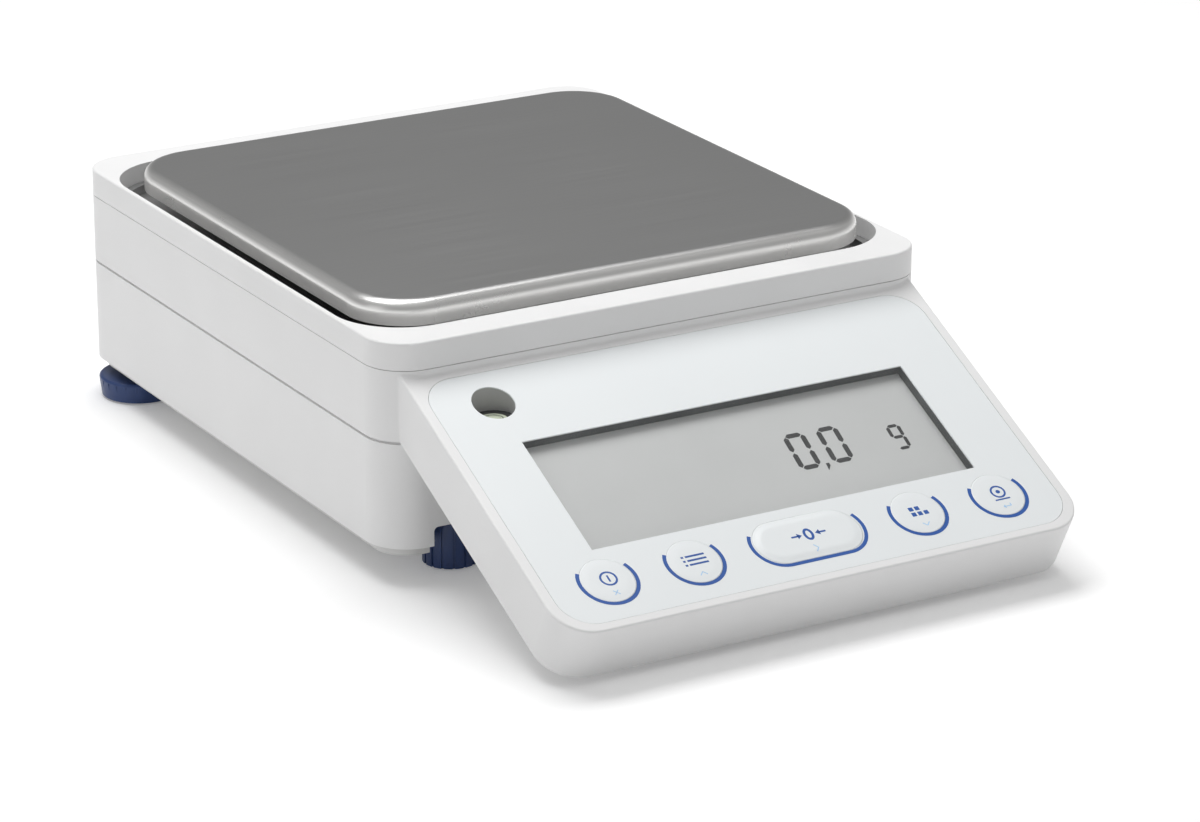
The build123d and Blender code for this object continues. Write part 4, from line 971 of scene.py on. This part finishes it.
@dataclass
class Key:
    """One embossed key of the control film, with its printed ring and signs.

    The pad's height over the distance d from its core, as a share of its radius, is
    crown · (3 q² - 2 q³) with q = (1 - d) / shoulder, held at the crown inside the shoulder.
    """

    node: str
    x: float
    sign: Sign
    pointer: Pointer
    half_core: float = 0.0
    ring_core: float = 0.0
    crown: float = 0.15 * MM
    shoulder: float = 0.35
    radius: float = 9.4 * MM
    reach: float = 19.75 * MM
    depth: float = 0.44 * MM
    ring_radius: float = 10.1 * MM
    ring_width: float = 1.3 * MM
    ring_rise: float = 31.0
    ring_depth: float = 0.04 * MM
    sign_shift: Pair = (0.5 * MM, -1.4 * MM)
    pointer_shift: Pair = (0.3 * MM, -1.0 * MM)
    around: int = 96
    rings: int = 22
    ring_steps: int = 44
    inner_share: float = 0.02

    @property
    def body(self) -> str:
        """The CAD body that the key moves with."""
        return self.node.replace("_key", "_button")

    def height(self, points: np.ndarray) -> np.ndarray:
        """Works out the pad's relief.

        Args:
            points: places (n, 2) on the film, measured from the key's middle.

        Returns:
            How far the pad stands out at each.
        """
        core = np.clip(points[:, 0], -self.half_core, self.half_core)
        d = np.hypot(points[:, 0] - core, points[:, 1]) / self.radius
        q = np.clip((1 - d) / self.shoulder, 0, 1)
        return self.crown * (3 * q**2 - 2 * q**3)

    def pad(self, panel: Panel) -> Shape:
        """Builds the pad: a profile over its face and shoulder and back below, round its core.

        A point is core + radius · share · (cos a, sin a), and its height is the relief there.

        Args:
            panel: the sloping face that it lies on.

        Returns:
            The pad in the row frame.
        """
        a = np.radians(np.linspace(-90, 270, self.around, endpoint=False))
        side = np.where(np.cos(a) > -1e-9, 1.0, -1.0) * self.half_core
        face = np.linspace(self.inner_share, 1.0, self.rings)
        shares = np.concatenate([face, [1.0, self.inner_share]])
        x = side + self.radius * shares[:, None] * np.cos(a)
        y = self.radius * shares[:, None] * np.sin(a)
        flat = np.column_stack([x.ravel(), y.ravel()])
        out = self.height(flat) - panel.foil_face
        out[-2 * self.around :] = -self.depth - panel.foil_face
        points = np.column_stack([flat + [self.x, self.reach], out])
        return panel.lay(Shape(points, capped_faces(len(shares), self.around, inward=True)))

    def ring(self) -> Shape:
        """Draws the printed ring, open at the top and straight below a wide key.

        Returns:
            The ring in panel coordinates.
        """
        low, high = 180 - self.ring_rise, 360 + self.ring_rise
        ends = (self.x - self.ring_core, self.reach), (self.x + self.ring_core, self.reach)
        left = arc(ends[0], self.ring_radius, low, 270, self.ring_steps)
        right = arc(ends[1], self.ring_radius, 270, high, self.ring_steps)
        path = np.concatenate([left, right if self.ring_core else right[1:]])
        return strip(path, self.ring_width, -self.ring_depth, 0.0)

    def draped(self, shapes: list[Shape], shift: Pair, panel: Panel) -> Shape:
        """Lays flat prints on the pad.

        Args:
            shapes: the prints, measured from the key's middle.
            shift: how far they are moved across and up.
            panel: the sloping face.

        Returns:
            The prints as one shape in the row frame, lifted by the pad's relief.
        """
        shape = Shape.join(shapes)
        flat = shape.points + [*shift, 0.0]
        lift = self.height(flat[:, :2]) - panel.foil_face
        points = np.column_stack([flat[:, :2] + [self.x, self.reach], flat[:, 2] + lift])
        return panel.lay(Shape(points, shape.faces))

    def build(self, panel: Panel, materials: Materials) -> None:
        """Adds the pad in place of its CAD solid, and its prints.

        Args:
            panel: the sloping face.
            materials: the finishes by name.
        """
        pad = add_piece(f"{self.node}_pad", self.pad(panel), self.body, materials["foil"])
        smooth_quads(pad)
        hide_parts(self.node)
        printer = Printer()
        sign = self.draped(printer.sign(self.sign), self.sign_shift, panel)
        add_piece(f"{self.node}_sign", sign, self.body, materials["deep_blue"])
        pointer = self.draped(printer.pointer(self.pointer), self.pointer_shift, panel)
        add_piece(f"{self.node}_pointer", pointer, self.body, materials["pale_blue"])


@dataclass
class Keypad:
    """The five keys and their rings, which are printed on the film that stays still."""

    outer_x: float = 75.75 * MM
    inner_x: float = 43.35 * MM
    wide_half_core: float = 10.75 * MM
    wide_ring_core: float = 11.25 * MM
    wide_crown: float = 0.42 * MM

    def keys(self) -> list[Key]:
        """Lays out the five keys.

        Returns:
            The keys, from left to right.
        """
        wide = (self.wide_half_core, self.wide_ring_core, self.wide_crown)
        return [
            Key("power_key", -self.outer_x, Sign.POWER, Pointer.CROSS),
            Key("mode_key", -self.inner_x, Sign.LIST, Pointer.UP),
            Key("tare_key", 0.0, Sign.ZERO, Pointer.RIGHT, *wide),
            Key("reference_key", self.inner_x, Sign.COUNT, Pointer.DOWN),
            Key("print_key", self.outer_x, Sign.FEED, Pointer.RETURN),
        ]

    def build(self, panel: Panel, materials: Materials) -> None:
        """Adds every key, and the rings as one print on the film.

        Args:
            panel: the sloping face.
            materials: the finishes by name.
        """
        keys = self.keys()
        for key in keys:
            key.build(panel, materials)
        rings = Shape.join([key.ring() for key in keys])
        add_piece("key_rings", panel.lay(rings), "base", materials["deep_blue"])


@dataclass
class Reading:
    """The display's reading: two digits with a comma, and a gram sign, as seven-segment figures.

    A segment is a bar with pointed ends. Its outline is the bar's middle line, pushed out by half
    the stroke and cut at 45° at each end. All points lean by across += lean · up. The comma's
    corners are in millimetres.
    """

    depth: float = 3.8 * MM
    height: float = 0.03 * MM
    foot: float = 50.6 * MM
    digit_height: float = 16.8 * MM
    digit_width: float = 8.6 * MM
    digit_starts: Pair = (16.3 * MM, 29.3 * MM)
    stroke: float = 1.95 * MM
    gap: float = 0.25 * MM
    lean: float = 0.075
    unit_start: float = 55.3 * MM
    unit_width: float = 5.6 * MM
    unit_height: float = 11.8 * MM
    unit_stroke: float = 1.35 * MM
    comma_gap: float = 2.2 * MM
    comma_corners: tuple[Pair, ...] = ((-0.9, -2.2), (0.6, -0.2), (0.6, 1.1), (-0.7, 1.1))

    @staticmethod
    def bar(start: np.ndarray, end: np.ndarray, stroke: float, gap: float) -> np.ndarray:
        """Draws one pointed bar.

        Args:
            start: the corner of the figure where it begins.
            end: the corner where it ends.
            stroke: its width.
            gap: how far each tip stays from its corner.

        Returns:
            The bar's outline.
        """
        ahead = (end - start) / np.linalg.norm(end - start)
        side = np.array([-ahead[1], ahead[0]]) * stroke / 2
        inner = ahead * stroke / 2
        a, b = start + ahead * gap, end - ahead * gap
        low, high = a + inner, b - inner
        return np.array([a, low - side, high - side, b, high + side, low + side])

    def figure(
        self, segments: str, x: float, width: float, height: float, stroke: float
    ) -> list[np.ndarray]:
        """Draws a seven-segment figure.

        Args:
            segments: the letters a to g of the bars that show.
            x: the left side of the figure's box.
            width: the box's width.
            height: the box's height.
            stroke: the bars' width. Their middle lines lie half of it inside the box.

        Returns:
            The outlines of the bars.
        """
        inset = stroke / 2
        left, right, low, high = x + inset, x + width - inset, inset, height - inset
        middle = (low + high) / 2
        ends = {
            "a": ((left, high), (right, high)),
            "b": ((right, middle), (right, high)),
            "c": ((right, low), (right, middle)),
            "d": ((left, low), (right, low)),
            "e": ((left, low), (left, middle)),
            "f": ((left, middle), (left, high)),
            "g": ((left, middle), (right, middle)),
        }
        gap = self.gap * stroke / self.stroke
        bars = [np.array(ends[letter]) for letter in segments]
        return [self.bar(start, end, stroke, gap) for start, end in bars]

    def build(self, panel: Panel, material: Material) -> None:
        """Adds the reading as one piece on the glass of the display.

        Args:
            panel: the sloping face.
            material: the segments' finish.
        """
        size = (self.digit_width, self.digit_height, self.stroke)
        outlines = []
        for start in self.digit_starts:
            outlines += self.figure("abcdef", start, *size)
        size = (self.unit_width, self.unit_height, self.unit_stroke)
        outlines += self.figure("abcdfg", self.unit_start, *size)
        comma = np.array(self.comma_corners) * MM
        outlines.append(comma + [self.digit_starts[1] - self.comma_gap, 0.0])
        shapes = []
        for outline in outlines:
            leaned = outline + [0.0, self.foot]
            leaned[:, 0] += outline[:, 1] * self.lean
            shapes.append(plate(leaned, -self.depth, -self.depth + self.height))
        add_piece("display_reading", panel.lay(Shape.join(shapes)), "base", material)


@dataclass
class LevelMarks:
    """The air bubble and the ring mark on the vial's glass, as turned surfaces."""

    bubble_radius: float = 2.4 * MM
    bubble_height: float = 0.5 * MM
    mark_radius: float = 3.2 * MM
    mark_width: float = 0.35 * MM
    mark_height: float = 0.05 * MM
    around: int = 48
    rings: int = 12
    inner_share: float = 0.02

    def bubble(self, middle: Vector, top: float) -> Shape:
        """Builds the bubble, a profile turned round: height · sqrt(1 - r²) at the share r.

        Args:
            middle: the vial's middle.
            top: the height of its glass.

        Returns:
            The bubble in the row frame.
        """
        r = np.sin(np.linspace(self.inner_share, 1, self.rings) * np.pi / 2)
        heights = self.bubble_height * np.sqrt(np.clip(1 - r**2, 0, 1))
        a = np.linspace(0, 2 * np.pi, self.around, endpoint=False)
        x = self.bubble_radius * r[:, None] * np.cos(a) + middle.x
        y = self.bubble_radius * r[:, None] * np.sin(a) + middle.y
        z = np.repeat(top + heights, self.around)
        points = np.column_stack([x.ravel(), y.ravel(), z])
        return Shape(points, capped_faces(self.rings, self.around, inward=True))

    def build(self, materials: Materials) -> None:
        """Adds the bubble and the ring mark on top of the vial.

        Args:
            materials: the finishes by name.
        """
        low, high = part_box("level_vial")
        middle, top = (low + high) / 2, high.z
        bubble = self.bubble(middle, top)
        smooth_quads(add_piece("level_bubble", bubble, "base", materials["vial"]))
        path = circle((middle.x, middle.y), self.mark_radius)
        ring = strip(path, self.mark_width, top, top + self.mark_height, True)
        add_piece("level_mark", ring, "base", materials["segment"])


@dataclass(frozen=True)
class Lamp:
    """A soft box: a flat area light, unseen by the camera itself."""

    name: str
    place: Place
    target: Place
    size: Pair
    watts: float

    def build(self) -> None:
        """Adds the lamp to the scene."""
        light = bpy.data.lights.new(self.name, "AREA")
        light.shape = "RECTANGLE"
        light.size, light.size_y = self.size
        light.energy = self.watts
        lamp = bpy.data.objects.new(self.name, light)
        lamp.location = self.place
        aim = Vector(self.target) - Vector(self.place)
        lamp.rotation_euler = aim.to_track_quat("-Z", "Y").to_euler()
        lamp.visible_camera = False
        bpy.context.scene.collection.objects.link(lamp)


@dataclass
class Studio:
    """The pale floor, the sky around, the soft boxes and the camera of the photograph."""

    floor_half: float = 6.0
    floor_colour: Colour = (0.9, 0.9, 0.9)
    floor_drift: float = 1.005
    floor_scale: float = 3.0
    floor_rough: float = 0.9
    floor_gloss: float = 0.1
    floor_glow: float = 0.2
    sky: tuple[Pair, ...] = (
        (0.0, 0.68),
        (0.10, 0.56),
        (0.24, 0.34),
        (0.5, 0.32),
        (0.8, 0.42),
        (1.0, 0.5),
    )
    camera_place: Place = (-0.762601, -1.323635, 0.582520)
    camera_azimuth: float = -30.3946
    camera_elevation: float = 20.0819
    camera_roll: float = 0.1312
    focal_pixels: float = 4578.05
    image_width: float = 1200.0
    sensor_width: float = 36.0
    clip_range: Pair = (0.05, 50.0)
    lamps: tuple[Lamp, ...] = (
        Lamp("overhead_box", (-0.06, 0.34, 1.3), (0.0, 0.0, 0.05), (1.15, 0.75), 13.5),
        Lamp("left_box", (-1.5, -0.2, 0.55), (0.0, 0.0, 0.05), (0.8, 0.8), 0.55),
    )

    def build(self) -> None:
        """Adds everything that isn't part of the object."""
        self.floor()
        self.world()
        for lamp in self.lamps:
            lamp.build()
        self.camera()
        bpy.context.scene.view_settings.view_transform = "Standard"

    def floor(self) -> None:
        """Adds the floor, which takes the object's shadow.

        It glows for rays that see it straight, in gloss or through glass, so that it comes out
        white there, and it glows little for the light that it throws on the object. It is clear
        from below.
        """
        half = self.floor_half
        corners = [(-half, -half, 0), (half, -half, 0), (half, half, 0), (-half, half, 0)]
        mesh = bpy.data.meshes.new("floor")
        mesh.from_pydata(corners, [], [(0, 1, 2, 3)])
        made = bpy.data.materials.new("Pale floor")
        made.use_nodes = True
        made.node_tree.nodes.clear()
        graph = Graph(made.node_tree)
        cloud = graph.noise(self.floor_scale, 2.0)
        pale, light = rgba(self.floor_colour), rgba(self.floor_colour, self.floor_drift)
        shader = graph.add("ShaderNodeBsdfPrincipled", {
            "Base Color": graph.blend(cloud, pale, light),
            "Roughness": self.floor_rough,
            "Specular IOR Level": self.floor_gloss,
        })
        rays = graph.add("ShaderNodeLightPath").outputs
        seen = graph.math("MAXIMUM", rays["Is Camera Ray"], rays["Is Glossy Ray"])
        seen = graph.math("MAXIMUM", seen, rays["Is Transmission Ray"])
        glow = graph.math("MULTIPLY", seen, self.floor_glow)
        white = {"Color": (1.0, 1.0, 1.0, 1.0), "Strength": glow}
        emission = graph.add("ShaderNodeEmission", white)
        lit = graph.add("ShaderNodeAddShader", {0: shader.outputs[0], 1: emission.outputs[0]})
        back = graph.add("ShaderNodeNewGeometry").outputs["Backfacing"]
        clear = graph.add("ShaderNodeBsdfTransparent")
        mixed = graph.add("ShaderNodeMixShader", {0: back, 1: lit.outputs[0], 2: clear.outputs[0]})
        graph.add("ShaderNodeOutputMaterial", {"Surface": mixed.outputs[0]})
        mesh.materials.append(made)
        floor = bpy.data.objects.new("floor", mesh)
        bpy.context.scene.collection.objects.link(floor)

    def world(self) -> None:
        """Adds the sky: a grey that depends on the sine of the height above the horizon alone."""
        world = bpy.data.worlds.new("studio")
        world.use_nodes = True
        world.node_tree.nodes.clear()
        graph = Graph(world.node_tree)
        direction = graph.add("ShaderNodeTexCoord").outputs["Generated"]
        up = graph.add("ShaderNodeSeparateXYZ", {0: direction}).outputs["Z"]
        ramp = graph.add("ShaderNodeValToRGB", {0: up})
        elements = ramp.color_ramp.elements
        for index, (stop, grey) in enumerate(self.sky):
            element = elements[index] if index < len(elements) else elements.new(stop)
            element.position, element.color = stop, (grey, grey, grey, 1.0)
        background = graph.add("ShaderNodeBackground", {"Color": ramp.outputs[0], "Strength": 1.0})
        graph.add("ShaderNodeOutputWorld", {"Surface": background.outputs[0]})
        bpy.context.scene.world = world

    def camera(self) -> None:
        """Adds the camera from the angles that were solved from the photograph's edges."""
        azimuth, elevation = math.radians(self.camera_azimuth), math.radians(self.camera_elevation)
        back = Vector((
            math.sin(azimuth) * math.cos(elevation),
            -math.cos(azimuth) * math.cos(elevation),
            math.sin(elevation),
        ))
        right = Vector((0, 0, 1)).cross(back).normalized()
        up = back.cross(right)
        roll = math.radians(self.camera_roll)
        sin, cos = math.sin(roll), math.cos(roll)
        right, up = right * cos + up * sin, up * cos - right * sin
        data = bpy.data.cameras.new("camera")
        data.sensor_width = self.sensor_width
        data.lens = self.focal_pixels / self.image_width * self.sensor_width
        data.clip_start, data.clip_end = self.clip_range
        camera = bpy.data.objects.new("camera", data)
        turn = Matrix((right, up, back)).transposed().to_4x4()
        camera.matrix_world = Matrix.Translation(Vector(self.camera_place)) @ turn
        bpy.context.scene.collection.objects.link(camera)
        bpy.context.scene.camera = camera


@dataclass
class Balance:
    """The whole balance: its CAD parts dressed by their slots, and the pieces added to them."""

    frame: dict
    library: EffectLibrary = field(default_factory=EffectLibrary)

    def materials(self) -> Materials:
        """Builds every finish, the vial's with its axis.

        Returns:
            The materials by name.
        """
        low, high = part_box("level_vial")
        axis = ((low.x + high.x) / 2, (low.y + high.y) / 2)
        finishes = FINISHES | {"vial": replace(FINISHES["vial"], axis=axis)}
        return {name: finish.material(self.library) for name, finish in finishes.items()}

    def dress(self, materials: Materials) -> None:
        """Gives each CAD part the material of its slot. The pan has one of its own.

        Args:
            materials: the finishes by name.
        """
        for part in self.frame["record"]["subparts"]:
            node, slot = part["node"], part["material_slot"]
            mesh = self.frame["nodes"][node].data
            mesh.materials.clear()
            mesh.materials.append(materials["pan" if node == "weighing_pan" else slot])
            log.info("%s dressed as %s", node, slot)

    def build(self) -> None:
        """Builds the finishes, then the pieces from the console down."""
        materials = self.materials()
        self.dress(materials)
        panel = Panel.from_foil()
        Keypad().build(panel, materials)
        Reading().build(panel, materials["segment"])
        LevelMarks().build(materials)


def main() -> None:
    """Loads the CAD frame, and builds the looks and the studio."""
    logging.basicConfig(level=logging.INFO, format="%(message)s")
    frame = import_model()
    Balance(frame).build()
    Studio().build()


if __name__ == "__main__":
    main()
